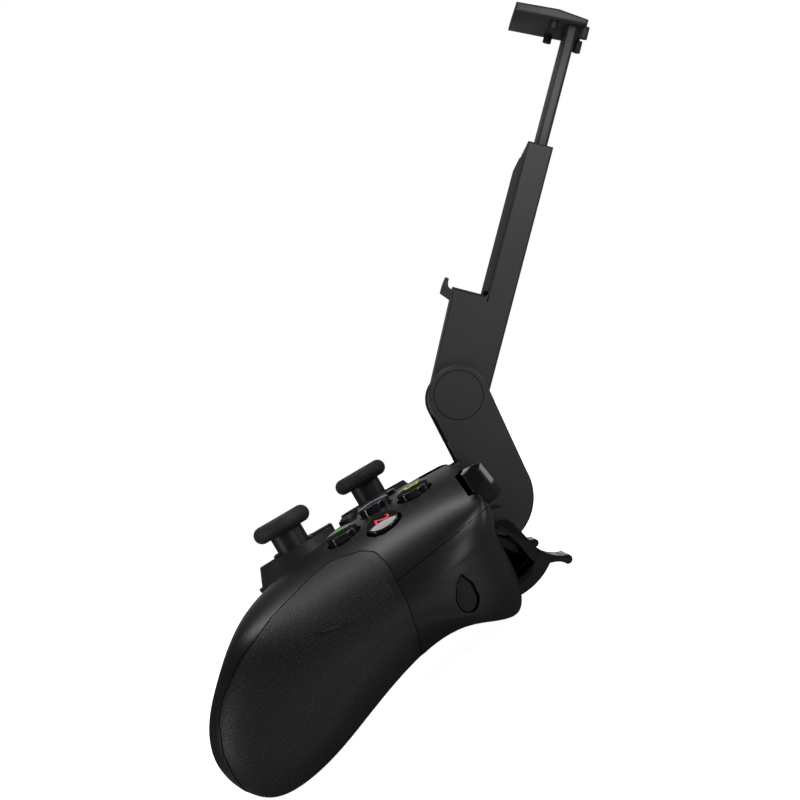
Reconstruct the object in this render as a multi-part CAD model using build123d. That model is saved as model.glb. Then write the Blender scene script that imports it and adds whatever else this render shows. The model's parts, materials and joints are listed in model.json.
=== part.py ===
from build123d import *
import math
import os

# A game controller with a folding phone clip.
# Everything is modelled in the frame of the controller's face: X to the player's right, Y along the
# face towards the triggers, Z out of the face. At the end it is turned to stand on its grips.

# Body, in the frame of the face
HALF_WIDTH = 77.0
FLANK = 15.0
REAR_Y = 21.0
GRIP_Y = -73.6
FACE_Z = -11.3
GRIP_Z = -63.4
POLE_Y = -22.0
POLE_Z = -33.0
CROWN_DROP = 7.5
GRIP_START_X = 26.0
GRIP_FULL_X = 58.0
WALL = 2.6
PANEL_THICKNESS = 1.3
SEAM_GAP = 0.16
OVERRUN = 40.0

# Each row: place in the middle of the body, place in the grip, and how far the crown lowers it.
# Places are shares of the way from the grip's end to the rear edge, and from the face down.
OUTLINE_SHARES = (
    ((0.956, 0.004), (0.952, 0.006), 1.0),
    ((0.831, 0.000), (0.831, 0.000), 1.0),
    ((0.662, 0.010), (0.672, 0.006), 1.0),
    ((0.514, 0.025), (0.514, 0.023), 1.0),
    ((0.397, 0.052), (0.355, 0.023), 1.0),
    ((0.318, 0.109), (0.228, 0.119), 0.5),
    ((0.271, 0.205), (0.112, 0.330), 0.1),
    ((0.252, 0.321), (0.030, 0.522), 0.0),
    ((0.260, 0.436), (0.000, 0.685), 0.0),
    ((0.302, 0.541), (0.019, 0.848), 0.0),
    ((0.371, 0.618), (0.075, 0.969), 0.0),
    ((0.461, 0.672), (0.165, 1.000), 0.0),
    ((0.567, 0.704), (0.302, 0.950), 0.0),
    ((0.672, 0.716), (0.461, 0.843), 0.0),
    ((0.767, 0.727), (0.651, 0.735), 0.0),
    ((0.852, 0.747), (0.810, 0.743), 0.0),
    ((0.922, 0.754), (0.918, 0.800), 0.0),
    ((0.957, 0.666), (0.956, 0.704), 0.1),
    ((0.979, 0.301), (0.981, 0.301), 0.5),
    ((0.998, 0.070), (1.000, 0.075), 1.0),
    ((0.989, 0.023), (0.990, 0.025), 1.0),
)
MIDDLE_STATION_SHARES = (0.0, 0.23, 0.42, 0.55, 0.68, 0.81, 0.94)
FLANK_STATION_SHARES = (0.0, 0.25, 0.48, 0.67, 0.81, 0.905, 0.962, 0.99, 0.9993)
FLANK_ROUNDING_SHARES = (2.6, 2.2)

# Seam between the shells, as shares of the same two spans
SEAM_SHARES = ((1.2, 0.25), (0.982, 0.269), (0.679, 0.347), (0.355, 0.503), (0.0, 0.75), (-0.2, 0.86))

# Grip panel: its edge on the flank, as shares of the same two spans, and where it ends underneath
PANEL_SHARES = (
    (0.542, 0.111), (0.634, 0.140), (0.668, 0.175), (0.682, 0.257), (0.679, 0.440), (0.662, 0.605),
    (0.640, 0.720), (0.560, 1.150), (0.060, 1.150), (0.072, 1.000), (0.034, 0.900), (0.030, 0.785),
    (0.038, 0.655), (0.075, 0.495), (0.112, 0.418), (0.206, 0.296), (0.334, 0.196), (0.467, 0.132),
)
PANEL_CORNER = 2.4
PANEL_INNER_X = 50.5

# Sticks: their centres on the face, and the height of the pivot
RIGHT_STICK_X = 20.4
RIGHT_STICK_Y = -30.4
LEFT_STICK_X = -43.7
LEFT_STICK_Y = -5.1
STICK_PIVOT_Z = -20.0
STICK_CAP_Z = -2.6
STICK_CAP_RADIUS = 8.7
STICK_RIM_RADIUS = 2.4
STICK_DISH = 0.9
STICK_STEM_RADIUS = 4.85
STICK_HEAD_CLEAR = 5.2
STICK_SHAFT_RADIUS = 2.0
STICK_SHAFT_BELOW = 2.2
STICK_TILT = 18.0
YOKE_HALF = 6.3
YOKE_BAR = 1.8
YOKE_HEIGHT = 2.8
ROCKER_HALF = 3.5
STICK_PIN_RADIUS = 1.0
HOUSING_HALF = 8.0
HOUSING_WALL = 1.2
HOUSING_ABOVE = 1.8
PIN_CLEARANCE = 0.05
COLLAR_TOP_RADIUS = 11.35
COLLAR_BASE_RADIUS = 13.6
COLLAR_TOP_Z = -10.1
COLLAR_HEIGHT = 5.1
COLLAR_STEM_GAP = 0.35
COLLAR_BORE_FLARE = 1.2
COLLAR_FLANGE = 1.0
COLLAR_FLANGE_HEIGHT = 1.2
YOKE_ROOM_GAP = 0.5
SEAT_CLEARANCE = 0.1

# Face buttons: the centre of the four, the height of each top, and its lean with the crown
BUTTONS_X = 44.6
BUTTONS_Y = -5.1
BUTTONS_PITCH = 11.15
BUTTON_RADIUS = 4.65
BUTTON_WELL_GAP = 0.7
BUTTON_FLANGE = 0.55
BUTTON_FLANGE_HEIGHT = 0.9
BUTTON_EDGE = 0.6
BUTTON_FLOOR_Z = -20.6
SOUTH_TOP_Z = -11.7
SOUTH_LEAN = 11.0
EAST_TOP_Z = -14.4
EAST_LEAN = 26.0
NORTH_TOP_Z = -11.0
NORTH_LEAN = 11.0
WEST_TOP_Z = -9.6
WEST_LEAN = 5.0

# Direction pad and its cradle
DPAD_X = -20.4
DPAD_Y = -29.6
DPAD_TOP_Z = -9.8
DPAD_REACH = 10.0
DPAD_HALF_ARM = 3.6
DPAD_THICKNESS = 6.9
DPAD_EDGE = 0.7
DPAD_GAP = 0.7
DPAD_DISH_RADIUS = 12.0
DPAD_DISH_Z = -14.3
DPAD_PIVOT_Z = -20.0
DPAD_BLOCK = 3.0
DPAD_LUG_GAP = 0.4
DPAD_LUG = 1.6
DPAD_LUG_BELOW = 1.3
DPAD_CRADLE_ABOVE = 1.6
DPAD_CRADLE_BASE = 1.1
DPAD_CRADLE_HALF = 4.5

# Buttons in the middle
GUIDE_Y = -4.0
GUIDE_RADIUS = 6.2
GUIDE_TOP_Z = -10.0
SMALL_X = 11.5
SMALL_Y = -14.0
SMALL_RADIUS = 2.7
SMALL_TOP_Z = -10.4
MIDDLE_GAP = 0.35
MIDDLE_BOTTOM_Z = -16.3
MIDDLE_FLANGE = 0.8
MIDDLE_FLANGE_HEIGHT = 0.8

# Circuit board and what lies on it
BOARD_TOP_Z = -25.4
BOARD_THICKNESS = 1.6
BOARD_HALF_WIDTH = 59.5
BOARD_REAR_Y = 10.0
BOARD_FRONT_Y = -42.0
BOARD_STEP_X = 38.0
BOARD_STEP_Y = -34.0
BOARD_DOCK_X = 22.0
BOARD_DOCK_Y = -6.5
SHEET = 0.6
DOME_BASE = 3.4
DOME_TOP = 2.0
DOME_HEIGHT = 1.1
DPAD_DOME_HEIGHT = 6.2
DPAD_DOME_OUT = 8.4
MIDDLE_DOME_HEIGHT = 7.0

# Battery, cradled by ribs of the bottom shell
BATTERY_LENGTH = 66.0
BATTERY_DEPTH = 34.0
BATTERY_THICKNESS = 10.0
BATTERY_Y = -17.0
BATTERY_TOP_Z = -31.0
BATTERY_EDGE = 2.0
RIB_X = 24.0
RIB_THICKNESS = 2.0

# Screws that close the shells, and those of the board
SHELL_SCREW_PLACES = ((27.0, 4.0), (-27.0, 4.0), (57.0, -50.0), (-57.0, -50.0))
SCREW_BOSS_RADIUS = 3.6
SCREW_PILLAR_RADIUS = 3.0
SCREW_HEAD_RADIUS = 2.2
SCREW_HEAD_HEIGHT = 1.6
SCREW_HEAD_GAP = 0.35
SCREW_CLAMP = 3.0
SCREW_RADIUS = 1.1
SCREW_LENGTH = 10.0
BOARD_SCREW_PLACES = ((52.0, -24.0), (-52.0, -24.0), (0.0, -27.0))
BOARD_SCREW_RADIUS = 0.9
BOARD_SCREW_HEAD = 1.8
BOARD_SCREW_HEAD_HEIGHT = 1.1
BOARD_SCREW_LENGTH = 6.0
BOARD_PILLAR_RADIUS = 2.4
BOARD_HOLE_GAP = 0.5

# Bumper: its profile is given in shares of how far it stands out and of its height
BUMPER_OUT = 5.0
BUMPER_TOP_Z = -13.9
BUMPER_HEIGHT = 11.1
BUMPER_SHARES = ((-0.4, 0.1), (0.28, 0.0), (0.72, 0.045), (1.0, 0.85), (0.68, 0.955), (-0.4, 0.985))
BUMPER_INNER_X = 20.0
BUMPER_OUTER_X = 64.0
BUMPER_GAP = 0.35
BUMPER_TRAVEL = 1.2
BUMPER_CHAMFER = 1.6
BUMPER_PIN_X = 22.2
BUMPER_PIN_BEHIND = 4.0
BUMPER_BOSS_RADIUS = 2.0
BUMPER_BOSS_Z = -17.0

# Trigger: pivot, skirt, and a finger blade whose points are shares of its depth and drop
TRIGGER_INNER_X = 38.5
TRIGGER_OUTER_X = 58.5
TRIGGER_PIVOT_AHEAD = 4.3
TRIGGER_PIVOT_Z = -31.7
TRIGGER_REACH = 16.3
TRIGGER_DROP = 17.3
TRIGGER_SKIRT_RADIUS = 18.2
TRIGGER_SKIRT_THICKNESS = 3.8
TRIGGER_SKIRT_FROM = -95.0
TRIGGER_SKIRT_TO = -53.0
TRIGGER_HUB_RADIUS = 2.2
TRIGGER_AXLE_RADIUS = 1.1
TRIGGER_WEB = 2.2
TRIGGER_GAP = 0.5
BLADE_OUTER_SHARES = (
    (0.02, -0.125), (0.17, -0.08), (0.37, -0.07), (0.48, 0.11), (0.53, 0.33), (0.59, 0.54), (0.73, 0.75),
    (0.98, 0.885),
)
BLADE_INNER_SHARES = (
    (0.88, 1.0), (0.70, 0.87), (0.50, 0.80), (0.40, 0.55), (0.33, 0.25), (0.22, 0.09), (0.02, 0.12),
)
BLADE_TIP_SHARES = (0.985, 0.985)

# Frame inside the rear that carries bumper and trigger
FRAME_PLATE = 1.6
FRAME_SIDE_GAP = 0.45
FRAME_FRONT_Y = 11.0
FRAME_TOP_Z = -26.1
FRAME_TOP_THICKNESS = 1.6
FRAME_LEDGE_OUT = 3.2
FRAME_LEDGE_DROP = 1.5
FRAME_LEDGE_HEIGHT = 3.0
FRAME_CHEEK_HALF = 3.2
BUMPER_PIN_RADIUS = 0.95
SWITCH_SIZE = 4.0

# Small side button low on each flank, as shares of its length and width
SIDE_BUTTON_Y = 4.0
SIDE_BUTTON_Z = -41.2
SIDE_BUTTON_LENGTH = 9.6
SIDE_BUTTON_WIDTH = 5.8
SIDE_BUTTON_SHARES = (
    (0.5, 0.28), (0.16, 0.5), (-0.26, 0.43), (-0.46, 0.1), (-0.46, -0.28), (-0.26, -0.5), (-0.02, -0.48),
    (0.32, -0.12),
)
SIDE_BUTTON_CORNER = 2.2
SIDE_BUTTON_INNER_X = 64.0
SIDE_BUTTON_GAP = 0.3

# Clip: dock, foot and lower arm
FOOT_AHEAD = -0.9
FOOT_Z = -24.4
DISC_RADIUS = 15.3
FOOT_RADIUS = 10.0
AXLE_RADIUS = 2.5
AXLE_CLEARANCE = 0.06
CHEEK_INNER_X = 12.9
CHEEK_OUTER_X = 16.7
FOOT_HALF_WIDTH = 12.3
DOCK_GAP = 0.5
DOCK_SIDE_GAP = 0.8
DOCK_WALL = 1.6
DOCK_SLOT_REACH = 12.1
TONGUE_HALF_WIDTH = 8.0
TONGUE_HEIGHT = 8.0
TONGUE_END_Y = -2.5
TONGUE_CLEARANCE = 0.15
SOCKET_WALL = 1.6
DISC_FLAT_Z = -12.7
ARM_FRONT_Y = 21.8
ELBOW_BEHIND = 10.3
ELBOW_Z = 3.7
ELBOW_RADIUS = 8.6
LINK_TOP_Z = -6.6
LINK_LOW_Z = -13.4
LINK_INSET = 0.9
CAP_RADIUS = 6.95
CAP_THICKNESS = 0.9
CAP_CLEARANCE = 0.12
WASHER_RADIUS = 6.0
WASHER_THICKNESS = 0.3
EDGE_BEVEL = 0.5

# Clip: upper arm, measured along it from the elbow and forwards from its middle line
ARM_ANGLE = 45.0
ARM_HALF_WIDTH = 12.5
ARM_BACK = -8.4
ARM_FRONT_LOW = 8.1
ARM_FRONT_HIGH = 9.0
ARM_HUB_RADIUS = 8.3
WIDE_LENGTH = 28.4
ARM_LENGTH = 75.6
NARROW_FRONT = -1.0
LEDGE_TOP = 29.0
LEDGE_ROOT = 30.2
LIP_REACH = 12.2
LIP_TOP = 31.8
LIP_FOOT = 29.3
LIP_THICKNESS = 1.2
LIP_FLAT = 9.4
PAD_THICKNESS = 0.8
PAD_SIDE = 1.0
REST_PAD_THICKNESS = 1.3
REST_PAD_TOP = 72.5
REST_PAD_SLOPE = 2.4
ROD_BACK = -6.7
ROD_FRONT = -3.5
ROD_HALF_WIDTH = 9.6
ROD_CLEARANCE = 0.15
ROD_LOW = 41.5
ROD_TRAVEL = 31.5
ROD_EDGE = 0.6
ROD_END_GAP = 1.5
COVER_LOW = 12.0
COVER_HIGH = 73.0
COVER_HALF_WIDTH = 11.0
COVER_THICKNESS = 1.5
SPRING_ALONG = 17.0
SPRING_FORWARD = 2.4
SPRING_RADIUS = 4.6
SPRING_CORE = 2.0
SPRING_HALF_WIDTH = 4.5
SPRING_GAP = 0.4

# Clip: jaw
JAW_LOW_BACK = 111.8
JAW_LOW_FRONT = 110.5
JAW_TOP_BACK = 113.5
JAW_TOP = 114.3
JAW_TOP_FRONT = 113.3
JAW_BACK = -8.9
JAW_FRONT = 12.4
PEG_RADIUS = 1.25
PEG_LENGTH = 2.2
PEG_FRONT = 8.7
PEG_REAR = -0.4
PEG_X = 9.0
ROD_IN_JAW = 1.4

# Charging socket in the rear wall, below the dock
SOCKET_Z = -44.0
SOCKET_HALF_WIDTH = 4.5
SOCKET_HEIGHT = 3.2
SOCKET_DEPTH = 7.0
SOCKET_SHELL = 0.4
SOCKET_OUT_Y = 17.2

# The grips and the rear corners stand on a table, which leans the face by this much
REST_TILT = 7.78

# Worked out from the sizes above
SHOULDER_X = HALF_WIDTH - FLANK
FOOT_Y = REAR_Y - FOOT_AHEAD
ELBOW_Y = REAR_Y + ELBOW_BEHIND
TRIGGER_PIVOT_Y = REAR_Y - TRIGGER_PIVOT_AHEAD
BUMPER_PIN_Y = REAR_Y - BUMPER_PIN_BEHIND
BOARD_LOW_Z = BOARD_TOP_Z - BOARD_THICKNESS
TOP_CUT_Z = FACE_Z + OVERRUN
LOW_CUT_Z = GRIP_Z - OVERRUN

parts = {}


def body_y(share):
    """Place along the face, from the grip's end (0) to the rear edge (1)."""
    return GRIP_Y + share * (REAR_Y - GRIP_Y)


def body_z(share):
    """Depth below the face, from the face (0) to the underside of the grip (1)."""
    return FACE_Z + share * (GRIP_Z - FACE_Z)


def side_sketch(points, radius=0):
    """Closed outline in the side view, with its corners rounded."""
    sketch = make_face(Polyline(*points, close=True))
    if radius:
        sketch = fillet(sketch.vertices(), radius)
    return sketch


def side_solid(sketch, x_from, x_to):
    """Side-view outline carried from one width to another."""
    return extrude(Plane.YZ.offset(x_from) * sketch, amount=x_to - x_from)


def side_box(x_from, x_to, y_from, y_to, z_from, z_to):
    """Block between two corners."""
    size = (x_to - x_from, y_to - y_from, z_to - z_from)
    middle = ((x_from + x_to) / 2, (y_from + y_to) / 2, (z_from + z_to) / 2)
    return Pos(*middle) * Box(*size)


def side_disc(radius, x_from, x_to, y, z):
    """Cylinder across the controller."""
    return side_solid(Pos(y, z) * Circle(radius), x_from, x_to)


def post(radius, x, y, z_from, z_to):
    """Cylinder out of the face."""
    return Pos(x, y, (z_from + z_to) / 2) * Cylinder(radius, z_to - z_from)


def cone(low_radius, top_radius, x, y, z_from, z_to):
    """Cone out of the face."""
    return Pos(x, y, (z_from + z_to) / 2) * Cone(low_radius, top_radius, z_to - z_from)


def mirrored(solid):
    """The same piece on the player's other side."""
    return mirror(solid, Plane.YZ)


def ease(share):
    """Smooth step from 0 to 1."""
    share = min(max(share, 0), 1)
    return share * share * (3 - 2 * share)


def outline_at(x, inset):
    """Closed outline of the body at one width, moved inwards by the inset."""
    grip = ease((x - GRIP_START_X) / (GRIP_FULL_X - GRIP_START_X))
    drop = CROWN_DROP * (x / SHOULDER_X) ** 4
    points = []
    for middle, end, crown in OUTLINE_SHARES:
        y = body_y(middle[0] + grip * (end[0] - middle[0]))
        z = body_z(middle[1] + grip * (end[1] - middle[1])) - crown * drop
        points.append((y, z))
    moved = []
    for index, (y, z) in enumerate(points):
        before = points[index - 1]
        after = points[(index + 1) % len(points)]
        along = (after[0] - before[0], after[1] - before[1])
        length = math.hypot(*along)
        moved.append((y - inset * along[1] / length, z + inset * along[0] / length))
    return moved


def spline_parameters():
    """One set of knots for all sections, from the mean spacing of their points."""
    totals = [0.0] * len(OUTLINE_SHARES)
    for x in (0, SHOULDER_X):
        points = outline_at(x, 0)
        steps = [math.dist(points[i], points[(i + 1) % len(points)]) for i in range(len(points))]
        for index, step in enumerate(steps):
            totals[index] += step / sum(steps)
    knots = [0.0]
    for step in totals:
        knots.append(knots[-1] + step / sum(totals))
    return knots


def body_solid(inset):
    """The whole body as one lofted solid, moved inwards by the inset."""
    knots = spline_parameters()
    power, root = FLANK_ROUNDING_SHARES
    sections = [(share * SHOULDER_X, share * SHOULDER_X, 1.0) for share in MIDDLE_STATION_SHARES]
    for share in FLANK_STATION_SHARES:
        place = SHOULDER_X + share * (FLANK - inset)
        sections.append((place, SHOULDER_X + share * FLANK, (1 - share ** power) ** (1 / root)))
    ordered = [(-place, x, scale) for place, x, scale in reversed(sections[1:])] + sections
    wires = []
    for place, x, scale in ordered:
        points = []
        for y, z in outline_at(x, inset):
            points.append((place, POLE_Y + scale * (y - POLE_Y), POLE_Z + scale * (z - POLE_Z)))
        wires.append(Wire([Edge.make_spline(points, parameters=knots, periodic=True)]))
    return Solid.make_loft(wires)


def seam_z(y):
    """Height of the seam at a place along the face."""
    points = [(body_y(a), body_z(b)) for a, b in SEAM_SHARES]
    for (y_high, z_high), (y_low, z_low) in zip(points, points[1:]):
        if y_low <= y <= y_high:
            return z_low + (z_high - z_low) * (y - y_low) / (y_high - y_low)
    return points[-1][1]


def above_seam(shift):
    """Everything above the seam, with the seam moved by the shift."""
    points = [(body_y(a), body_z(b) + shift) for a, b in SEAM_SHARES]
    points += [(points[-1][0], TOP_CUT_Z), (points[0][0], TOP_CUT_Z)]
    return side_solid(side_sketch(points), -HALF_WIDTH - OVERRUN, HALF_WIDTH + OVERRUN)


def panel_prism():
    """Region that the right grip panel fills, past the body on its outer side."""
    sketch = side_sketch([(body_y(a), body_z(b)) for a, b in PANEL_SHARES], PANEL_CORNER)
    return side_solid(sketch, PANEL_INNER_X, HALF_WIDTH + OVERRUN)


def stick_axes():
    """Centre of each stick on the face."""
    return {"right": (RIGHT_STICK_X, RIGHT_STICK_Y), "left": (LEFT_STICK_X, LEFT_STICK_Y)}


def collar_solid(x, y, gap):
    """Outer form of the collar round a stick."""
    base_z = COLLAR_TOP_Z - COLLAR_HEIGHT
    body = cone(COLLAR_BASE_RADIUS + gap, COLLAR_TOP_RADIUS + gap, x, y, base_z, COLLAR_TOP_Z)
    flange_low = base_z - COLLAR_FLANGE_HEIGHT - gap
    return body + post(COLLAR_BASE_RADIUS + COLLAR_FLANGE + gap, x, y, flange_low, base_z)


def yoke_room(x, y):
    """Room below the collar's flange, in which the yoke and the stem swing."""
    top_z = COLLAR_TOP_Z - COLLAR_HEIGHT - COLLAR_FLANGE_HEIGHT
    return post(YOKE_HALF * math.sqrt(2) + YOKE_ROOM_GAP, x, y, STICK_PIVOT_Z, top_z)


def collar(x, y):
    """Faceted collar round a stick, with a flared bore."""
    base_z = COLLAR_TOP_Z - COLLAR_HEIGHT - COLLAR_FLANGE_HEIGHT
    tilt = math.atan(math.sqrt(2) * math.tan(math.radians(STICK_TILT)))
    swing = (COLLAR_TOP_Z - STICK_PIVOT_Z) * math.tan(tilt)
    bore = swing + STICK_STEM_RADIUS / math.cos(tilt) + COLLAR_STEM_GAP
    return collar_solid(x, y, 0) - cone(bore + COLLAR_BORE_FLARE, bore, x, y, base_z, COLLAR_TOP_Z)


def button_axis(name):
    """Place of a face button: centre of its top, and its lean outwards."""
    places = {
        "south": (BUTTONS_X, BUTTONS_Y - BUTTONS_PITCH, SOUTH_TOP_Z, SOUTH_LEAN),
        "east": (BUTTONS_X + BUTTONS_PITCH, BUTTONS_Y, EAST_TOP_Z, EAST_LEAN),
        "north": (BUTTONS_X, BUTTONS_Y + BUTTONS_PITCH, NORTH_TOP_Z, NORTH_LEAN),
        "west": (BUTTONS_X - BUTTONS_PITCH, BUTTONS_Y, WEST_TOP_Z, WEST_LEAN),
    }
    return places[name]


BUTTON_NAMES = ("south", "east", "north", "west")


def leaning(solid, name):
    """A piece drawn below the origin, moved to a face button's top and leaned with it."""
    x, y, z, lean = button_axis(name)
    return Pos(x, y, z) * Rot(0, lean, 0) * solid


def button_length(name):
    """From the top of a face button down to its lower end."""
    x, y, z, lean = button_axis(name)
    return (z - BUTTON_FLOOR_Z) * math.cos(math.radians(lean))


def face_button(name):
    """Button with a rounded top edge, and a flange that keeps it in the shell."""
    length = button_length(name)
    body = Pos(0, 0, -length / 2) * Cylinder(BUTTON_RADIUS, length)
    body = fillet(body.edges().sort_by(Axis.Z)[-1], BUTTON_EDGE)
    flange_radius = BUTTON_RADIUS + BUTTON_WELL_GAP + BUTTON_FLANGE
    flange = Pos(0, 0, -length + BUTTON_FLANGE_HEIGHT / 2) * Cylinder(flange_radius, BUTTON_FLANGE_HEIGHT)
    return leaning(body + flange, name)


def button_well(name):
    """Hole of a face button through the shell, wider below for its flange."""
    length = button_length(name)
    radius = BUTTON_RADIUS + BUTTON_WELL_GAP
    hole = Cylinder(radius, OVERRUN)
    wide = radius + BUTTON_FLANGE + BUTTON_WELL_GAP
    room_top = -length + BUTTON_FLANGE_HEIGHT + SEAT_CLEARANCE
    room = Pos(0, 0, room_top - WALL) * Cylinder(wide, 2 * WALL)
    return leaning(hole + room, name)


def cross(reach, half_arm, z_from, z_to, x, y):
    """Cross-shaped block."""
    one = side_box(x - reach, x + reach, y - half_arm, y + half_arm, z_from, z_to)
    other = side_box(x - half_arm, x + half_arm, y - reach, y + reach, z_from, z_to)
    return one + other


def middle_buttons():
    """Name, place, radius and top of each button in the middle."""
    return (
        ("guide_button", 0, GUIDE_Y, GUIDE_RADIUS, GUIDE_TOP_Z),
        ("view_button", -SMALL_X, SMALL_Y, SMALL_RADIUS, SMALL_TOP_Z),
        ("menu_button", SMALL_X, SMALL_Y, SMALL_RADIUS, SMALL_TOP_Z),
    )


def bumper_sketch(gap, deeper):
    """Side profile of the bumper, grown by the gap and carried deeper into the body."""
    points = []
    for out, down in BUMPER_SHARES:
        y = REAR_Y + out * BUMPER_OUT - (deeper if out < 0 else 0)
        points.append((y, BUMPER_TOP_Z - down * BUMPER_HEIGHT))
    sketch = side_sketch(points)
    if gap:
        sketch = offset(sketch, gap, kind=Kind.INTERSECTION)
    return sketch


def bumper():
    """Right bumper: bevelled bar with a boss at its inner end, which swings on the frame's pin."""
    bar = side_solid(bumper_sketch(0, 0), BUMPER_INNER_X, BUMPER_OUTER_X)
    outer_edges = bar.faces().sort_by(Axis.X)[-1].edges()
    bar = chamfer(outer_edges.filter_by(lambda edge: edge.center().Y > REAR_Y), BUMPER_CHAMFER)
    low_z = BUMPER_TOP_Z - BUMPER_HEIGHT + BUMPER_GAP
    boss = post(BUMPER_BOSS_RADIUS, BUMPER_PIN_X, BUMPER_PIN_Y, low_z, BUMPER_BOSS_Z)
    neck = side_box(BUMPER_PIN_X - BUMPER_BOSS_RADIUS, BUMPER_PIN_X + BUMPER_BOSS_RADIUS,
                    BUMPER_PIN_Y, REAR_Y - BUMPER_GAP, low_z, BUMPER_BOSS_Z)
    bore = post(BUMPER_PIN_RADIUS + PIN_CLEARANCE, BUMPER_PIN_X, BUMPER_PIN_Y,
                low_z - OVERRUN, BUMPER_BOSS_Z - FRAME_PLATE)
    return bar + boss + neck - bore


def bumper_pocket():
    """Room for the right bumper and for its travel."""
    pocket = side_solid(bumper_sketch(BUMPER_GAP, BUMPER_TRAVEL), BUMPER_INNER_X - BUMPER_GAP,
                        BUMPER_OUTER_X + BUMPER_GAP)
    reach = BUMPER_BOSS_RADIUS + 2 * BUMPER_GAP
    return pocket + side_box(BUMPER_PIN_X - reach, BUMPER_PIN_X + reach, BUMPER_PIN_Y - reach, REAR_Y,
                             FRAME_TOP_Z, BUMPER_BOSS_Z + BUMPER_GAP)


def trigger_point(share):
    """Place of a blade point, from its shares."""
    return (TRIGGER_PIVOT_Y + share[0] * TRIGGER_REACH, TRIGGER_PIVOT_Z - share[1] * TRIGGER_DROP)


def skirt_sketch():
    """Ring sector of the trigger's skirt."""
    inner = TRIGGER_SKIRT_RADIUS - TRIGGER_SKIRT_THICKNESS
    span = TRIGGER_SKIRT_TO - TRIGGER_SKIRT_FROM
    rim = CenterArc((TRIGGER_PIVOT_Y, TRIGGER_PIVOT_Z), TRIGGER_SKIRT_RADIUS, TRIGGER_SKIRT_FROM, span)
    core = CenterArc((TRIGGER_PIVOT_Y, TRIGGER_PIVOT_Z), inner, TRIGGER_SKIRT_FROM, span)
    return make_face([rim, Line(rim @ 1, core @ 1), core, Line(core @ 0, rim @ 0)])


def trigger():
    """Right trigger: finger blade, arc skirt, hub, and one web on its inner side."""
    outer = Spline(*[trigger_point(share) for share in BLADE_OUTER_SHARES])
    inner = Spline(*[trigger_point(share) for share in BLADE_INNER_SHARES])
    tip = ThreePointArc(outer @ 1, trigger_point(BLADE_TIP_SHARES), inner @ 0)
    blade_sketch = make_face([outer, tip, inner, Line(inner @ 1, outer @ 0)])
    solid = side_solid(blade_sketch, TRIGGER_INNER_X, TRIGGER_OUTER_X)
    solid += side_solid(skirt_sketch(), TRIGGER_INNER_X, TRIGGER_OUTER_X)
    solid += side_disc(TRIGGER_HUB_RADIUS, TRIGGER_INNER_X, TRIGGER_OUTER_X, TRIGGER_PIVOT_Y, TRIGGER_PIVOT_Z)
    low = math.radians(TRIGGER_SKIRT_FROM)
    reach = TRIGGER_SKIRT_RADIUS - TRIGGER_SKIRT_THICKNESS / 2
    foot = (TRIGGER_PIVOT_Y + reach * math.cos(low), TRIGGER_PIVOT_Z + reach * math.sin(low))
    web = [(TRIGGER_PIVOT_Y, TRIGGER_PIVOT_Z), trigger_point(BLADE_INNER_SHARES[4]),
           trigger_point(BLADE_INNER_SHARES[2]), trigger_point(BLADE_INNER_SHARES[1]), foot]
    solid += side_solid(side_sketch(web), TRIGGER_INNER_X, TRIGGER_INNER_X + TRIGGER_WEB)
    bore = TRIGGER_AXLE_RADIUS + PIN_CLEARANCE
    return solid - side_disc(bore, TRIGGER_INNER_X - OVERRUN, TRIGGER_OUTER_X + OVERRUN,
                             TRIGGER_PIVOT_Y, TRIGGER_PIVOT_Z)


def trigger_room():
    """Room for the right trigger: a drum round its pivot, below the frame's top plate."""
    drum = side_disc(TRIGGER_SKIRT_RADIUS + TRIGGER_GAP, TRIGGER_INNER_X - TRIGGER_GAP,
                     TRIGGER_OUTER_X + TRIGGER_GAP, TRIGGER_PIVOT_Y, TRIGGER_PIVOT_Z)
    below = side_box(0, HALF_WIDTH, TRIGGER_PIVOT_Y - OVERRUN, TRIGGER_PIVOT_Y + OVERRUN,
                     LOW_CUT_Z, FRAME_TOP_Z)
    return drum & below


def trigger_frame():
    """Right frame: top plate with a ledge behind it, two cheeks for the axle, and the bumper's pin."""
    low_z = FRAME_TOP_Z - FRAME_TOP_THICKNESS
    inner_x = TRIGGER_INNER_X - FRAME_SIDE_GAP
    outer_x = TRIGGER_OUTER_X + FRAME_SIDE_GAP
    pin_reach = BUMPER_PIN_X - BUMPER_BOSS_RADIUS
    solid = side_box(pin_reach, outer_x + FRAME_PLATE, FRAME_FRONT_Y, BUMPER_PIN_Y + FRAME_PLATE,
                     low_z, FRAME_TOP_Z)
    front = BUMPER_PIN_Y
    back = REAR_Y - FRAME_LEDGE_DROP
    ledge_low = FRAME_TOP_Z - FRAME_LEDGE_HEIGHT
    nose = (REAR_Y + FRAME_LEDGE_OUT, FRAME_TOP_Z - FRAME_LEDGE_DROP)
    ledge = [(front, FRAME_TOP_Z), (back, FRAME_TOP_Z), nose, (back, ledge_low), (front, ledge_low)]
    solid += side_solid(side_sketch(ledge), inner_x, outer_x + FRAME_PLATE)
    for x in (inner_x - FRAME_PLATE, outer_x):
        solid += side_box(x, x + FRAME_PLATE, TRIGGER_PIVOT_Y - FRAME_CHEEK_HALF,
                          TRIGGER_PIVOT_Y + FRAME_CHEEK_HALF / 2,
                          TRIGGER_PIVOT_Z - FRAME_CHEEK_HALF, FRAME_TOP_Z)
    solid += post(BUMPER_PIN_RADIUS, BUMPER_PIN_X, BUMPER_PIN_Y, low_z, BUMPER_BOSS_Z - 2 * FRAME_PLATE)
    return solid - side_disc(TRIGGER_AXLE_RADIUS, 0, HALF_WIDTH, TRIGGER_PIVOT_Y, TRIGGER_PIVOT_Z)


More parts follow.
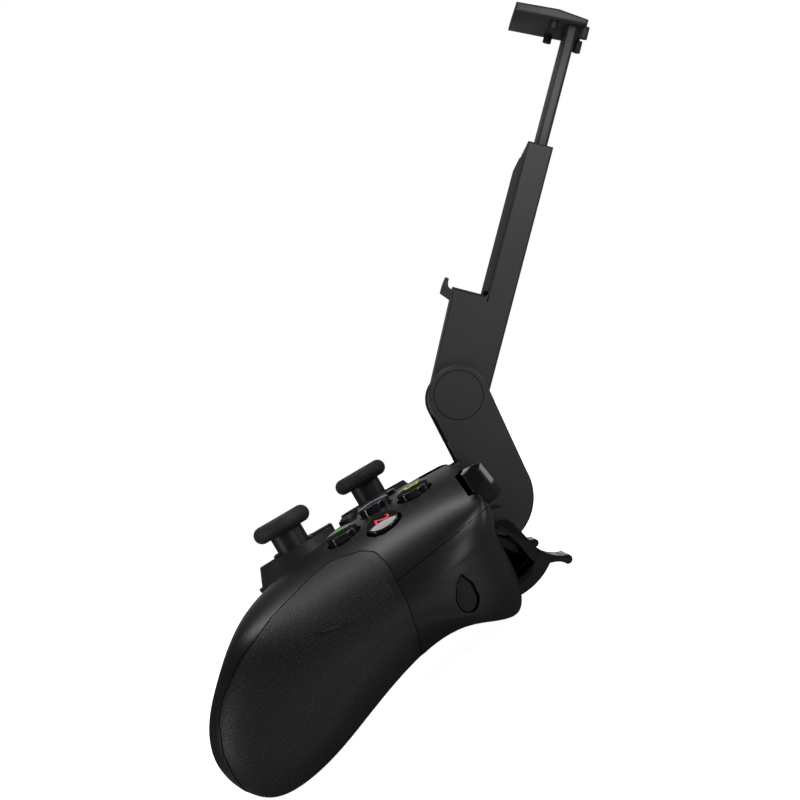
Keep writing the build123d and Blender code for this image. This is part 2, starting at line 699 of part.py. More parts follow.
def side_button_sketch(gap):
    """Drop-shaped outline of the side button, pointed at its top."""
    points = []
    for along, across in SIDE_BUTTON_SHARES:
        point = (SIDE_BUTTON_Y + across * SIDE_BUTTON_WIDTH, SIDE_BUTTON_Z + along * SIDE_BUTTON_LENGTH)
        points.append(point)
    sketch = side_sketch(points)
    tip = sketch.vertices().sort_by(Axis.Y)[-1]
    sketch = fillet([corner for corner in sketch.vertices() if corner != tip], SIDE_BUTTON_CORNER)
    if gap:
        sketch = offset(sketch, gap)
    return sketch


def dock_slot():
    """Upright slot through the face and the rear, for the clip's lower end."""
    half = CHEEK_OUTER_X + DOCK_SIDE_GAP
    return side_box(-half, half, FOOT_Y - DOCK_SLOT_REACH, REAR_Y + OVERRUN, FOOT_Z, TOP_CUT_Z)


def dock_room():
    """Drum-shaped room below the slot."""
    half = CHEEK_OUTER_X + DOCK_SIDE_GAP
    return side_disc(DISC_RADIUS + DOCK_GAP, -half, half, FOOT_Y, FOOT_Z)


def tongue(gap):
    """Tongue of the clip's foot, which plugs into the dock."""
    half = TONGUE_HALF_WIDTH + gap
    height = TONGUE_HEIGHT / 2 + gap
    return side_box(-half, half, TONGUE_END_Y - gap, FOOT_Y, FOOT_Z - height, FOOT_Z + height)


def clip_dock(inner):
    """Lining of the rear notch, with the socket for the tongue in front of it."""
    half = CHEEK_OUTER_X + DOCK_SIDE_GAP + DOCK_WALL
    lining = side_disc(DISC_RADIUS + DOCK_GAP + DOCK_WALL, -half, half, FOOT_Y, FOOT_Z)
    wide = TONGUE_HALF_WIDTH + TONGUE_CLEARANCE + SOCKET_WALL
    high = TONGUE_HEIGHT / 2 + TONGUE_CLEARANCE + SOCKET_WALL
    block = side_box(-wide, wide, TONGUE_END_Y - SOCKET_WALL, FOOT_Y - DISC_RADIUS,
                     FOOT_Z - high, FOOT_Z + high)
    return ((lining + block) & inner) - dock_slot() - dock_room() - tongue(TONGUE_CLEARANCE)


def screw_head_z(y):
    """Underside seat of a shell screw's head."""
    return seam_z(y) - SCREW_CLAMP


def board():
    """Main circuit board, stepped round the dock and the shells' pillars."""
    points = [
        (-BOARD_HALF_WIDTH, BOARD_REAR_Y), (-BOARD_HALF_WIDTH, BOARD_STEP_Y), (-BOARD_STEP_X, BOARD_FRONT_Y),
        (BOARD_STEP_X, BOARD_FRONT_Y), (BOARD_HALF_WIDTH, BOARD_STEP_Y), (BOARD_HALF_WIDTH, BOARD_REAR_Y),
        (BOARD_DOCK_X, BOARD_REAR_Y), (BOARD_DOCK_X, BOARD_DOCK_Y), (-BOARD_DOCK_X, BOARD_DOCK_Y),
        (-BOARD_DOCK_X, BOARD_REAR_Y),
    ]
    sketch = make_face(Polyline(*points, close=True))
    solid = extrude(Pos(0, 0, BOARD_LOW_Z) * sketch, amount=BOARD_THICKNESS)
    cuts = []
    for x, y in SHELL_SCREW_PLACES:
        cuts.append(post(SCREW_PILLAR_RADIUS + BOARD_HOLE_GAP, x, y, LOW_CUT_Z, TOP_CUT_Z))
    for x, y in BOARD_SCREW_PLACES:
        cuts.append(post(BOARD_SCREW_RADIUS, x, y, LOW_CUT_Z, TOP_CUT_Z))
    return solid - cuts


def sheet(x_from, x_to, y_from, y_to, domes, height):
    """Rubber sheet on the board with a hollow-looking dome under each button."""
    solid = side_box(x_from, x_to, y_from, y_to, BOARD_TOP_Z, BOARD_TOP_Z + SHEET)
    for x, y in domes:
        solid += cone(DOME_BASE, DOME_TOP, x, y, BOARD_TOP_Z + SHEET, BOARD_TOP_Z + SHEET + height)
    return solid


def stick_housing(x, y):
    """Open-topped box of a stick module, with bearings for the yoke's pins."""
    top_z = STICK_PIVOT_Z + HOUSING_ABOVE
    inner = HOUSING_HALF - HOUSING_WALL
    half = HOUSING_HALF
    solid = side_box(x - half, x + half, y - half, y + half, BOARD_TOP_Z, top_z)
    solid -= side_box(x - inner, x + inner, y - inner, y + inner, BOARD_TOP_Z, top_z)
    return solid - side_disc(STICK_PIN_RADIUS + PIN_CLEARANCE, x - OVERRUN, x + OVERRUN, y, STICK_PIVOT_Z)


def stick_yoke(x, y):
    """Square yoke that tilts on pins across the controller."""
    low_z = STICK_PIVOT_Z - YOKE_HEIGHT / 2
    top_z = STICK_PIVOT_Z + YOKE_HEIGHT / 2
    inner = YOKE_HALF - YOKE_BAR
    solid = side_box(x - YOKE_HALF, x + YOKE_HALF, y - YOKE_HALF, y + YOKE_HALF, low_z, top_z)
    solid -= side_box(x - inner, x + inner, y - inner, y + inner, low_z, top_z)
    pins = side_disc(STICK_PIN_RADIUS, x - HOUSING_HALF, x + HOUSING_HALF, y, STICK_PIVOT_Z)
    pins -= side_box(x - inner, x + inner, y - inner, y + inner, low_z, top_z)
    bearing = Pos(x, y, STICK_PIVOT_Z) * Rot(90, 0, 0) * Cylinder(STICK_PIN_RADIUS + PIN_CLEARANCE, OVERRUN)
    return solid + pins - bearing


def stick_rocker(x, y):
    """Block inside the yoke, which tilts on pins along the face and guides the stick's shaft."""
    low_z = STICK_PIVOT_Z - YOKE_HEIGHT / 2
    top_z = STICK_PIVOT_Z + YOKE_HEIGHT / 2
    solid = side_box(x - ROCKER_HALF, x + ROCKER_HALF, y - ROCKER_HALF, y + ROCKER_HALF, low_z, top_z)
    solid += Pos(x, y, STICK_PIVOT_Z) * Rot(90, 0, 0) * Cylinder(STICK_PIN_RADIUS, 2 * YOKE_HALF)
    return solid - post(STICK_SHAFT_RADIUS + PIN_CLEARANCE, x, y, LOW_CUT_Z, TOP_CUT_Z)


def stick_stem(x, y):
    """Stem with the thin shaft that slides in the rocker."""
    low_z = STICK_PIVOT_Z - STICK_SHAFT_BELOW
    head_z = STICK_PIVOT_Z + STICK_HEAD_CLEAR
    top_z = STICK_CAP_Z - STICK_RIM_RADIUS / 2
    return post(STICK_SHAFT_RADIUS, x, y, low_z, head_z) + post(STICK_STEM_RADIUS, x, y, head_z, top_z)


def stick_cap(x, y):
    """Cap with a fat rounded rim and a dished top, bored for the stem's end."""
    middle = STICK_CAP_RADIUS - STICK_RIM_RADIUS
    thick = STICK_RIM_RADIUS
    low = STICK_CAP_Z - thick
    top = STICK_CAP_Z + thick
    rim = ThreePointArc((middle, low), (STICK_CAP_RADIUS, STICK_CAP_Z), (middle, top))
    bend = (middle ** 2 + STICK_DISH ** 2) / (2 * STICK_DISH)
    span = math.degrees(math.asin(middle / bend))
    dish = CenterArc((0, top - STICK_DISH + bend), bend, -90, span)
    profile = make_face([Line((0, low), (middle, low)), rim, dish, Line((0, top - STICK_DISH), (0, low))])
    solid = Pos(x, y, 0) * revolve(Plane.XZ * profile, Axis.Z)
    return solid - post(STICK_STEM_RADIUS, x, y, low - OVERRUN, STICK_CAP_Z - STICK_RIM_RADIUS / 2)


def dpad():
    """Cross with rounded top edges, on a pin along the face between two lugs."""
    low_z = DPAD_TOP_Z - DPAD_THICKNESS
    solid = cross(DPAD_REACH, DPAD_HALF_ARM, low_z, DPAD_TOP_Z, DPAD_X, DPAD_Y)
    solid = fillet(solid.edges().group_by(Axis.Z)[-1], DPAD_EDGE)
    lug_from = DPAD_BLOCK + DPAD_LUG_GAP
    lug_to = lug_from + DPAD_LUG
    for side in (-1, 1):
        edges = sorted((DPAD_Y + side * lug_from, DPAD_Y + side * lug_to))
        solid += side_box(DPAD_X - DPAD_LUG, DPAD_X + DPAD_LUG, edges[0], edges[1],
                          DPAD_PIVOT_Z - DPAD_LUG_BELOW, low_z)
    pin = Cylinder(STICK_PIN_RADIUS, 2 * lug_to)
    return solid + Pos(DPAD_X, DPAD_Y, DPAD_PIVOT_Z) * Rot(90, 0, 0) * pin


def dpad_pivot():
    """Small block between the lugs, with pins across the controller."""
    block = Pos(DPAD_X, DPAD_Y, DPAD_PIVOT_Z) * Box(2 * DPAD_BLOCK, 2 * DPAD_BLOCK, 2 * DPAD_LUG)
    reach = DPAD_BLOCK + DPAD_LUG_GAP + DPAD_LUG
    block += side_disc(STICK_PIN_RADIUS, DPAD_X - reach, DPAD_X + reach, DPAD_Y, DPAD_PIVOT_Z)
    bore = Cylinder(STICK_PIN_RADIUS + PIN_CLEARANCE, OVERRUN)
    return block - Pos(DPAD_X, DPAD_Y, DPAD_PIVOT_Z) * Rot(90, 0, 0) * bore


def dpad_cradle():
    """Cradle on the board that carries the pivot block."""
    base_z = BOARD_TOP_Z + SHEET
    wall_from = DPAD_BLOCK + DPAD_LUG_GAP
    reach = wall_from + DPAD_LUG
    solid = side_box(DPAD_X - reach, DPAD_X + reach, DPAD_Y - DPAD_CRADLE_HALF, DPAD_Y + DPAD_CRADLE_HALF,
                     base_z, base_z + DPAD_CRADLE_BASE)
    for side in (-1, 1):
        edges = sorted((DPAD_X + side * wall_from, DPAD_X + side * reach))
        solid += side_box(edges[0], edges[1], DPAD_Y - DPAD_BLOCK, DPAD_Y + DPAD_BLOCK,
                          base_z, DPAD_PIVOT_Z + DPAD_CRADLE_ABOVE)
    return solid - side_disc(STICK_PIN_RADIUS + PIN_CLEARANCE, DPAD_X - OVERRUN, DPAD_X + OVERRUN,
                             DPAD_Y, DPAD_PIVOT_Z)


def middle_button(x, y, radius, top_z):
    """Low round button with a rounded edge and a keeping flange."""
    body = post(radius, x, y, MIDDLE_BOTTOM_Z, top_z)
    body = fillet(body.edges().sort_by(Axis.Z)[-1], BUTTON_EDGE)
    return body + post(radius + MIDDLE_FLANGE, x, y, MIDDLE_BOTTOM_Z, MIDDLE_BOTTOM_Z + MIDDLE_FLANGE_HEIGHT)


def middle_hole(x, y, radius):
    """Hole of such a button through the shell, wider below for its flange."""
    hole = post(radius + MIDDLE_GAP, x, y, MIDDLE_BOTTOM_Z, TOP_CUT_Z)
    room_top = MIDDLE_BOTTOM_Z + MIDDLE_FLANGE_HEIGHT + SEAT_CLEARANCE
    return hole + post(radius + MIDDLE_FLANGE + MIDDLE_GAP, x, y, MIDDLE_BOTTOM_Z - WALL, room_top)


def clip_foot():
    """Foot of the clip: drum round the lower axle, with the tongue."""
    drum = side_disc(FOOT_RADIUS, -FOOT_HALF_WIDTH, FOOT_HALF_WIDTH, FOOT_Y, FOOT_Z)
    bore = AXLE_RADIUS + AXLE_CLEARANCE
    return drum + tongue(0) - side_disc(bore, -OVERRUN, OVERRUN, FOOT_Y, FOOT_Z)


def lower_arm():
    """Fork of two cheeks joined by a block, with round ends at both axles."""
    flat_reach = math.sqrt(DISC_RADIUS ** 2 - (DISC_FLAT_Z - FOOT_Z) ** 2)
    slant = DISC_RADIUS * math.cos(math.radians(45))
    disc_front = (FOOT_Y - flat_reach, DISC_FLAT_Z)
    disc_back = (FOOT_Y + DISC_RADIUS, FOOT_Z)
    elbow_front = (ELBOW_Y - ELBOW_RADIUS, ELBOW_Z)
    elbow_back = (ELBOW_Y + ELBOW_RADIUS, ELBOW_Z)
    outline = [
        Line(disc_front, (ARM_FRONT_Y, DISC_FLAT_Z)),
        Line((ARM_FRONT_Y, DISC_FLAT_Z), elbow_front),
        ThreePointArc(elbow_front, (ELBOW_Y, ELBOW_Z + ELBOW_RADIUS), elbow_back),
        Line(elbow_back, disc_back),
        ThreePointArc(disc_back, (FOOT_Y - slant, FOOT_Z - slant), disc_front),
    ]
    cheek = side_solid(make_face(outline), CHEEK_INNER_X, CHEEK_OUTER_X)
    cheek = chamfer(cheek.faces().sort_by(Axis.X)[-1].edges(), EDGE_BEVEL)
    cheek -= side_disc(CAP_RADIUS + CAP_CLEARANCE, CHEEK_OUTER_X - CAP_THICKNESS, CHEEK_OUTER_X + OVERRUN,
                       ELBOW_Y, ELBOW_Z)
    link = side_box(-CHEEK_INNER_X, CHEEK_INNER_X, ARM_FRONT_Y + LINK_INSET, FOOT_Y + DISC_RADIUS,
                    LINK_LOW_Z, LINK_TOP_Z)
    solid = cheek + mirrored(cheek) + link
    axles = side_disc(AXLE_RADIUS, -OVERRUN, OVERRUN, FOOT_Y, FOOT_Z)
    axles += side_disc(AXLE_RADIUS, -OVERRUN, OVERRUN, ELBOW_Y, ELBOW_Z)
    return solid - axles


def arm_solid(sketch, x_from, x_to):
    """Outline drawn along the upper arm and forwards of it, carried across the arm."""
    angle = math.radians(ARM_ANGLE)
    along = (0, math.cos(angle), math.sin(angle))
    plane = Plane(origin=(x_from, ELBOW_Y, ELBOW_Z), x_dir=along, z_dir=(1, 0, 0))
    return extrude(plane * sketch, amount=x_to - x_from)


def arm_box(along_from, along_to, forward_from, forward_to, half_width):
    """Block on the upper arm, centred across it."""
    points = [(along_from, forward_from), (along_to, forward_from), (along_to, forward_to),
              (along_from, forward_to)]
    return arm_solid(side_sketch(points), -half_width, half_width)


def upper_arm():
    """Housing of the upper arm: wide part, ledge with a lip, and the narrow part that guides the rod."""
    outline = [
        Polyline((0, ARM_BACK), (ARM_LENGTH, ARM_BACK), (ARM_LENGTH, NARROW_FRONT),
                 (WIDE_LENGTH, NARROW_FRONT), (WIDE_LENGTH, ARM_FRONT_HIGH), (0, ARM_FRONT_LOW)),
        ThreePointArc((0, ARM_FRONT_LOW), (-ARM_HUB_RADIUS, 0), (0, ARM_BACK)),
    ]
    solid = arm_solid(make_face(outline), -ARM_HALF_WIDTH, ARM_HALF_WIDTH)
    sides = solid.faces().sort_by(Axis.X)
    solid = chamfer(sides[0].edges() + sides[-1].edges(), EDGE_BEVEL)
    root = WIDE_LENGTH - EDGE_BEVEL
    lip_inside = LIP_REACH - LIP_THICKNESS
    ledge = [
        Polyline((LIP_TOP, lip_inside), (LIP_TOP, LIP_REACH), (LIP_FOOT, LIP_REACH),
                 (root, ARM_FRONT_HIGH - EDGE_BEVEL), (root, NARROW_FRONT), (LEDGE_ROOT, NARROW_FRONT),
                 (LEDGE_TOP, 0), (LEDGE_TOP, LIP_FLAT)),
        Spline((LEDGE_TOP, LIP_FLAT), (LIP_TOP, lip_inside), tangents=((0, 1), (1, 0))),
    ]
    solid += arm_solid(make_face(ledge), -ARM_HALF_WIDTH, ARM_HALF_WIDTH)
    solid -= arm_box(ROD_LOW - ROD_TRAVEL - ROD_END_GAP, ARM_LENGTH + OVERRUN, ROD_BACK - ROD_CLEARANCE,
                     ROD_FRONT + ROD_CLEARANCE, ROD_HALF_WIDTH + ROD_CLEARANCE)
    solid -= arm_box(COVER_LOW, COVER_HIGH, ARM_BACK - OVERRUN, ARM_BACK + COVER_THICKNESS, COVER_HALF_WIDTH)
    pocket = Pos(SPRING_ALONG, SPRING_FORWARD) * Circle(SPRING_RADIUS + SPRING_GAP)
    core = Pos(SPRING_ALONG, SPRING_FORWARD) * Circle(SPRING_CORE)
    width = SPRING_HALF_WIDTH + SPRING_GAP
    solid -= arm_solid(pocket - core, -width, width)
    solid -= arm_box(SPRING_ALONG - SPRING_RADIUS, SPRING_ALONG, ROD_FRONT, SPRING_FORWARD - SPRING_CORE,
                     width)
    bore = AXLE_RADIUS + AXLE_CLEARANCE
    return solid - side_disc(bore, -OVERRUN, OVERRUN, ELBOW_Y, ELBOW_Z)


def rest_pad():
    """Rubber strip on the front of the narrow part, cut at a slant at its top."""
    front = NARROW_FRONT + REST_PAD_THICKNESS
    low = LEDGE_ROOT + PAD_THICKNESS
    points = [(low, NARROW_FRONT), (REST_PAD_TOP, NARROW_FRONT), (REST_PAD_TOP - REST_PAD_SLOPE, front),
              (low, front)]
    half = ARM_HALF_WIDTH - PAD_SIDE
    return arm_solid(side_sketch(points), -half, half)


def ledge_pad():
    """Rubber pad on the ledge."""
    return arm_box(LEDGE_TOP, LEDGE_TOP + PAD_THICKNESS, 0, LIP_FLAT, ARM_HALF_WIDTH - PAD_SIDE)


def clamp_rod():
    """Flat rod that slides in the upper arm, with bevelled edges."""
    rod = arm_box(ROD_LOW, JAW_LOW_FRONT + ROD_IN_JAW, ROD_BACK, ROD_FRONT, ROD_HALF_WIDTH)
    angle = math.radians(ARM_ANGLE)
    along = Axis((0, 0, 0), (0, math.cos(angle), math.sin(angle)))
    return chamfer(rod.edges().filter_by(along), ROD_EDGE)


def clamp_jaw(rod):
    """Upper jaw: a shallow roof over the phone, slotted for the rod's end."""
    points = [(JAW_LOW_FRONT, JAW_FRONT), (JAW_LOW_BACK, JAW_BACK), (JAW_TOP_BACK, JAW_BACK), (JAW_TOP, 0),
              (JAW_TOP_FRONT, JAW_FRONT)]
    solid = arm_solid(side_sketch(points), -ARM_HALF_WIDTH, ARM_HALF_WIDTH)
    sides = solid.faces().sort_by(Axis.X)
    solid = chamfer(sides[0].edges() + sides[-1].edges(), EDGE_BEVEL)
    return solid - rod


def jaw_low(forward):
    """Underside of the jaw at a place forwards of the arm's middle line."""
    share = (forward - JAW_BACK) / (JAW_FRONT - JAW_BACK)
    return JAW_LOW_BACK + share * (JAW_LOW_FRONT - JAW_LOW_BACK)


def jaw_pegs(jaw):
    """Rubber pegs under the jaw."""
    pegs = []
    for forward in (PEG_FRONT, PEG_REAR):
        for x in (-PEG_X, PEG_X):
            low = jaw_low(forward) - PEG_LENGTH
            angle = math.radians(ARM_ANGLE)
            along = (0, math.cos(angle), math.sin(angle))
            plane = Plane(origin=(x, ELBOW_Y, ELBOW_Z), x_dir=(1, 0, 0), z_dir=along)
            peg = plane.offset(low) * (Pos(0, forward) * Circle(PEG_RADIUS))
            pegs.append(extrude(peg, amount=PEG_LENGTH + PEG_RADIUS) - jaw)
    return pegs


def build_body():
    """Shells, panels and dock."""
    outer = body_solid(0)
    under_panel = body_solid(PANEL_THICKNESS)
    inner = body_solid(WALL)
    skin = outer - inner
    prism = panel_prism()
    panel = ((outer & prism) - under_panel).solids().sort_by(SortBy.VOLUME)[-1]
    parts["right_grip_panel"] = panel
    parts["left_grip_panel"] = mirrored(panel)
    recess = prism - under_panel
    skin = skin - [recess, mirrored(recess)]
    top = (skin & above_seam(SEAM_GAP / 2)) - dock_slot()
    bottom = skin - above_seam(-SEAM_GAP / 2) - dock_slot()

    cuts = [bumper_pocket(), mirrored(bumper_pocket()), dock_room()]
    for x, y in stick_axes().values():
        cuts.append(collar_solid(x, y, SEAT_CLEARANCE))
        cuts.append(yoke_room(x, y))
    cuts += [button_well(name) for name in BUTTON_NAMES]
    cuts.append(cross(DPAD_REACH + DPAD_GAP, DPAD_HALF_ARM + DPAD_GAP, LOW_CUT_Z, TOP_CUT_Z, DPAD_X, DPAD_Y))
    cuts.append(post(DPAD_DISH_RADIUS, DPAD_X, DPAD_Y, DPAD_DISH_Z, TOP_CUT_Z))
    for name, x, y, radius, top_z in middle_buttons():
        cuts.append(middle_hole(x, y, radius))
    pillars = []
    pilots = []
    for x, y in SHELL_SCREW_PLACES:
        pillars.append(post(SCREW_PILLAR_RADIUS, x, y, seam_z(y) + SEAM_GAP, TOP_CUT_Z))
        pilots.append(post(SCREW_RADIUS, x, y, LOW_CUT_Z, screw_head_z(y) + SCREW_LENGTH))
    for x, y in BOARD_SCREW_PLACES:
        pillars.append(post(BOARD_PILLAR_RADIUS, x, y, BOARD_TOP_Z, TOP_CUT_Z))
        pilots.append(post(BOARD_SCREW_RADIUS, x, y, LOW_CUT_Z, BOARD_LOW_Z + BOARD_SCREW_LENGTH))
    top = top - cuts
    for pillar in pillars:
        top = top + (pillar & under_panel)
    for pilot in pilots:
        top = top - pilot
    parts["top_shell"] = top

    bosses = []
    holes = []
    for x, y in SHELL_SCREW_PLACES:
        bosses.append(post(SCREW_BOSS_RADIUS, x, y, LOW_CUT_Z, seam_z(y) - SEAM_GAP) & under_panel)
        holes.append(post(SCREW_RADIUS, x, y, LOW_CUT_Z, TOP_CUT_Z))
        holes.append(post(SCREW_HEAD_RADIUS + SCREW_HEAD_GAP, x, y, LOW_CUT_Z, screw_head_z(y)))
    battery_low = BATTERY_TOP_Z - BATTERY_THICKNESS
    for x in (-RIB_X, 0, RIB_X):
        rib = side_box(x - RIB_THICKNESS / 2, x + RIB_THICKNESS / 2, BATTERY_Y - BATTERY_DEPTH / 2,
                       BATTERY_Y + BATTERY_DEPTH / 2, LOW_CUT_Z, battery_low)
        bosses.append(rib & under_panel)
    low_cuts = [trigger_room(), mirrored(trigger_room()), dock_room(), bumper_pocket(),
                mirrored(bumper_pocket())]
    low_cuts.append(side_box(-SOCKET_HALF_WIDTH, SOCKET_HALF_WIDTH, SOCKET_OUT_Y - SOCKET_DEPTH, REAR_Y,
                             SOCKET_Z - SOCKET_HEIGHT / 2, SOCKET_Z + SOCKET_HEIGHT / 2))
    side_hole = side_solid(side_button_sketch(SIDE_BUTTON_GAP), SHOULDER_X, HALF_WIDTH + OVERRUN)
    low_cuts += [side_hole, mirrored(side_hole)]
    for room in trigger_frame_rooms():
        low_cuts += [room, mirrored(room)]
    for boss in bosses:
        bottom = bottom + boss
    for cut in low_cuts + holes:
        bottom = bottom - cut
    parts["bottom_shell"] = bottom

    parts["clip_dock"] = clip_dock(inner)
    button = side_solid(side_button_sketch(0), SIDE_BUTTON_INNER_X, HALF_WIDTH + OVERRUN) & under_panel
    parts["right_side_button"] = button
    parts["left_side_button"] = mirrored(button)


def trigger_frame_rooms():
    """Rooms for the frame: its ledge passes through the rear wall, and its cheeks end in two slots in it."""
    inner_x = TRIGGER_INNER_X - FRAME_SIDE_GAP
    outer_x = TRIGGER_OUTER_X + FRAME_SIDE_GAP
    rooms = [side_box(BUMPER_PIN_X - BUMPER_BOSS_RADIUS - SEAT_CLEARANCE,
                      outer_x + FRAME_PLATE + SEAT_CLEARANCE, FRAME_FRONT_Y, REAR_Y + OVERRUN,
                      FRAME_TOP_Z - FRAME_LEDGE_HEIGHT - SEAT_CLEARANCE, FRAME_TOP_Z + SEAT_CLEARANCE)]
    for x_from, x_to in ((inner_x - FRAME_PLATE - SEAT_CLEARANCE, TRIGGER_INNER_X),
                         (TRIGGER_OUTER_X, outer_x + FRAME_PLATE + SEAT_CLEARANCE)):
        rooms.append(side_box(x_from, x_to, FRAME_FRONT_Y,
                              TRIGGER_PIVOT_Y + FRAME_CHEEK_HALF / 2 + SEAT_CLEARANCE,
                              TRIGGER_PIVOT_Z - FRAME_CHEEK_HALF - SEAT_CLEARANCE, FRAME_TOP_Z))
    return rooms


def build_inside():
    """Board, battery, sheets, frames, sockets and screws."""
    parts["main_board"] = board()
    battery_low = BATTERY_TOP_Z - BATTERY_THICKNESS
    pack = side_box(-BATTERY_LENGTH / 2, BATTERY_LENGTH / 2, BATTERY_Y - BATTERY_DEPTH / 2,
                    BATTERY_Y + BATTERY_DEPTH / 2, battery_low, BATTERY_TOP_Z)
    parts["battery_pack"] = fillet(pack.edges(), BATTERY_EDGE)
    domes = [button_axis(name)[:2] for name in BUTTON_NAMES]
    reach = BUTTONS_PITCH - DOME_TOP
    parts["button_sheet"] = sheet(BUTTONS_X - reach, BUTTONS_X + reach, BUTTONS_Y - reach, BUTTONS_Y + reach,
                                  domes, DOME_HEIGHT)
    out = DPAD_DOME_OUT
    arms = [(DPAD_X + out * a, DPAD_Y + out * b) for a, b in ((1, 0), (-1, 0), (0, 1), (0, -1))]
    reach = DPAD_DOME_OUT + DOME_TOP
    parts["dpad_sheet"] = sheet(DPAD_X - reach, DPAD_X + reach, DPAD_Y - reach, DPAD_Y + reach, arms,
                                DPAD_DOME_HEIGHT)
    domes = [(-SMALL_X, SMALL_Y), (SMALL_X, SMALL_Y)]
    reach = SMALL_X + DOME_BASE
    parts["middle_sheet"] = sheet(-reach, reach, SMALL_Y - DOME_BASE, SMALL_Y + DOME_BASE, domes,
                                  MIDDLE_DOME_HEIGHT)
    parts["dpad_cradle"] = dpad_cradle()
    frame = trigger_frame()
    parts["right_trigger_frame"] = frame
    parts["left_trigger_frame"] = mirrored(frame)
    axle_reach = FRAME_SIDE_GAP + FRAME_PLATE
    axle = side_disc(TRIGGER_AXLE_RADIUS, TRIGGER_INNER_X - axle_reach, TRIGGER_OUTER_X + axle_reach,
                     TRIGGER_PIVOT_Y, TRIGGER_PIVOT_Z)
    parts["trigger_axles"] = [axle, mirrored(axle)]
    switch_z = FRAME_TOP_Z + SWITCH_SIZE / 2
    switch_y = BUMPER_PIN_Y - SWITCH_SIZE / 2 - BUMPER_TRAVEL
    cube = Box(SWITCH_SIZE, SWITCH_SIZE, SWITCH_SIZE)
    switch = Pos(TRIGGER_OUTER_X - SWITCH_SIZE, switch_y, switch_z) * cube
    parts["bumper_switches"] = [switch, mirrored(switch)]
    socket = side_box(-SOCKET_HALF_WIDTH, SOCKET_HALF_WIDTH, SOCKET_OUT_Y - SOCKET_DEPTH, SOCKET_OUT_Y,
                      SOCKET_Z - SOCKET_HEIGHT / 2, SOCKET_Z + SOCKET_HEIGHT / 2)
    socket = fillet(socket.edges().filter_by(Axis.Y), SOCKET_HEIGHT / 2 - SOCKET_SHELL)
    hole = side_box(-SOCKET_HALF_WIDTH + SOCKET_SHELL, SOCKET_HALF_WIDTH - SOCKET_SHELL,
                    SOCKET_OUT_Y - SOCKET_DEPTH + SOCKET_SHELL, SOCKET_OUT_Y,
                    SOCKET_Z - SOCKET_HEIGHT / 2 + SOCKET_SHELL, SOCKET_Z + SOCKET_HEIGHT / 2 - SOCKET_SHELL)
    hole -= side_box(-SOCKET_HALF_WIDTH / 2, SOCKET_HALF_WIDTH / 2, SOCKET_OUT_Y - SOCKET_DEPTH,
                     SOCKET_OUT_Y - SOCKET_SHELL, SOCKET_Z - SOCKET_SHELL / 2, SOCKET_Z + SOCKET_SHELL / 2)
    parts["charging_socket"] = socket - hole
    screws = []
    for x, y in SHELL_SCREW_PLACES:
        head_z = screw_head_z(y)
        screw = post(SCREW_HEAD_RADIUS, x, y, head_z - SCREW_HEAD_HEIGHT, head_z)
        screws.append(screw + post(SCREW_RADIUS, x, y, head_z, head_z + SCREW_LENGTH))
    parts["shell_screws"] = screws
    screws = []
    for x, y in BOARD_SCREW_PLACES:
        screw = post(BOARD_SCREW_HEAD, x, y, BOARD_LOW_Z - BOARD_SCREW_HEAD_HEIGHT, BOARD_LOW_Z)
        screws.append(screw + post(BOARD_SCREW_RADIUS, x, y, BOARD_LOW_Z, BOARD_LOW_Z + BOARD_SCREW_LENGTH))
    parts["board_screws"] = screws


def build_controls():
    """Sticks, buttons, direction pad, bumpers and triggers."""
    for side, (x, y) in stick_axes().items():
        parts[side + "_stick_collar"] = collar(x, y)
        parts[side + "_stick_housing"] = stick_housing(x, y)
        parts[side + "_stick_yoke"] = stick_yoke(x, y)
        parts[side + "_stick_rocker"] = stick_rocker(x, y)
        parts[side + "_stick_stem"] = stick_stem(x, y)
        parts[side + "_stick_cap"] = stick_cap(x, y)
    for name in BUTTON_NAMES:
        parts[name + "_button"] = face_button(name)
    parts["dpad"] = dpad()
    parts["dpad_pivot"] = dpad_pivot()
    for name, x, y, radius, top_z in middle_buttons():
        parts[name] = middle_button(x, y, radius, top_z)
    parts["right_bumper"] = bumper()
    parts["left_bumper"] = mirrored(parts["right_bumper"])
    parts["right_trigger"] = trigger()
    parts["left_trigger"] = mirrored(parts["right_trigger"])


def build_clip():
    """Foot, arms, axles, pads, rod and jaw of the phone clip."""
    parts["clip_foot"] = clip_foot()
    parts["lower_arm"] = lower_arm()
    reach = CHEEK_OUTER_X
    parts["lower_axle"] = side_disc(AXLE_RADIUS, -reach, reach, FOOT_Y, FOOT_Z)
    reach = CHEEK_OUTER_X - CAP_THICKNESS
    parts["elbow_axle"] = side_disc(AXLE_RADIUS, -reach, reach, ELBOW_Y, ELBOW_Z)
    cap = side_disc(CAP_RADIUS, CHEEK_OUTER_X - CAP_THICKNESS, CHEEK_OUTER_X, ELBOW_Y, ELBOW_Z)
    parts["elbow_caps"] = [cap, mirrored(cap)]
    washer = side_disc(WASHER_RADIUS, CHEEK_INNER_X - WASHER_THICKNESS, CHEEK_INNER_X,
                       ELBOW_Y, ELBOW_Z)
    washer -= side_disc(AXLE_RADIUS, 0, OVERRUN, ELBOW_Y, ELBOW_Z)
    parts["friction_washers"] = [washer, mirrored(washer)]
    parts["upper_arm"] = upper_arm()
    cover_front = ARM_BACK + COVER_THICKNESS
    parts["arm_cover"] = arm_box(COVER_LOW, COVER_HIGH, ARM_BACK, cover_front, COVER_HALF_WIDTH)
    parts["rest_pad"] = rest_pad()
    parts["ledge_pad"] = ledge_pad()
    ring = Pos(SPRING_ALONG, SPRING_FORWARD) * (Circle(SPRING_RADIUS) - Circle(SPRING_CORE))
    parts["clamp_spring"] = arm_solid(ring, -SPRING_HALF_WIDTH, SPRING_HALF_WIDTH)
    rod = clamp_rod()
    jaw = clamp_jaw(rod)
    parts["clamp_rod"] = rod
    parts["clamp_jaw"] = jaw
    parts["jaw_pegs"] = jaw_pegs(jaw)


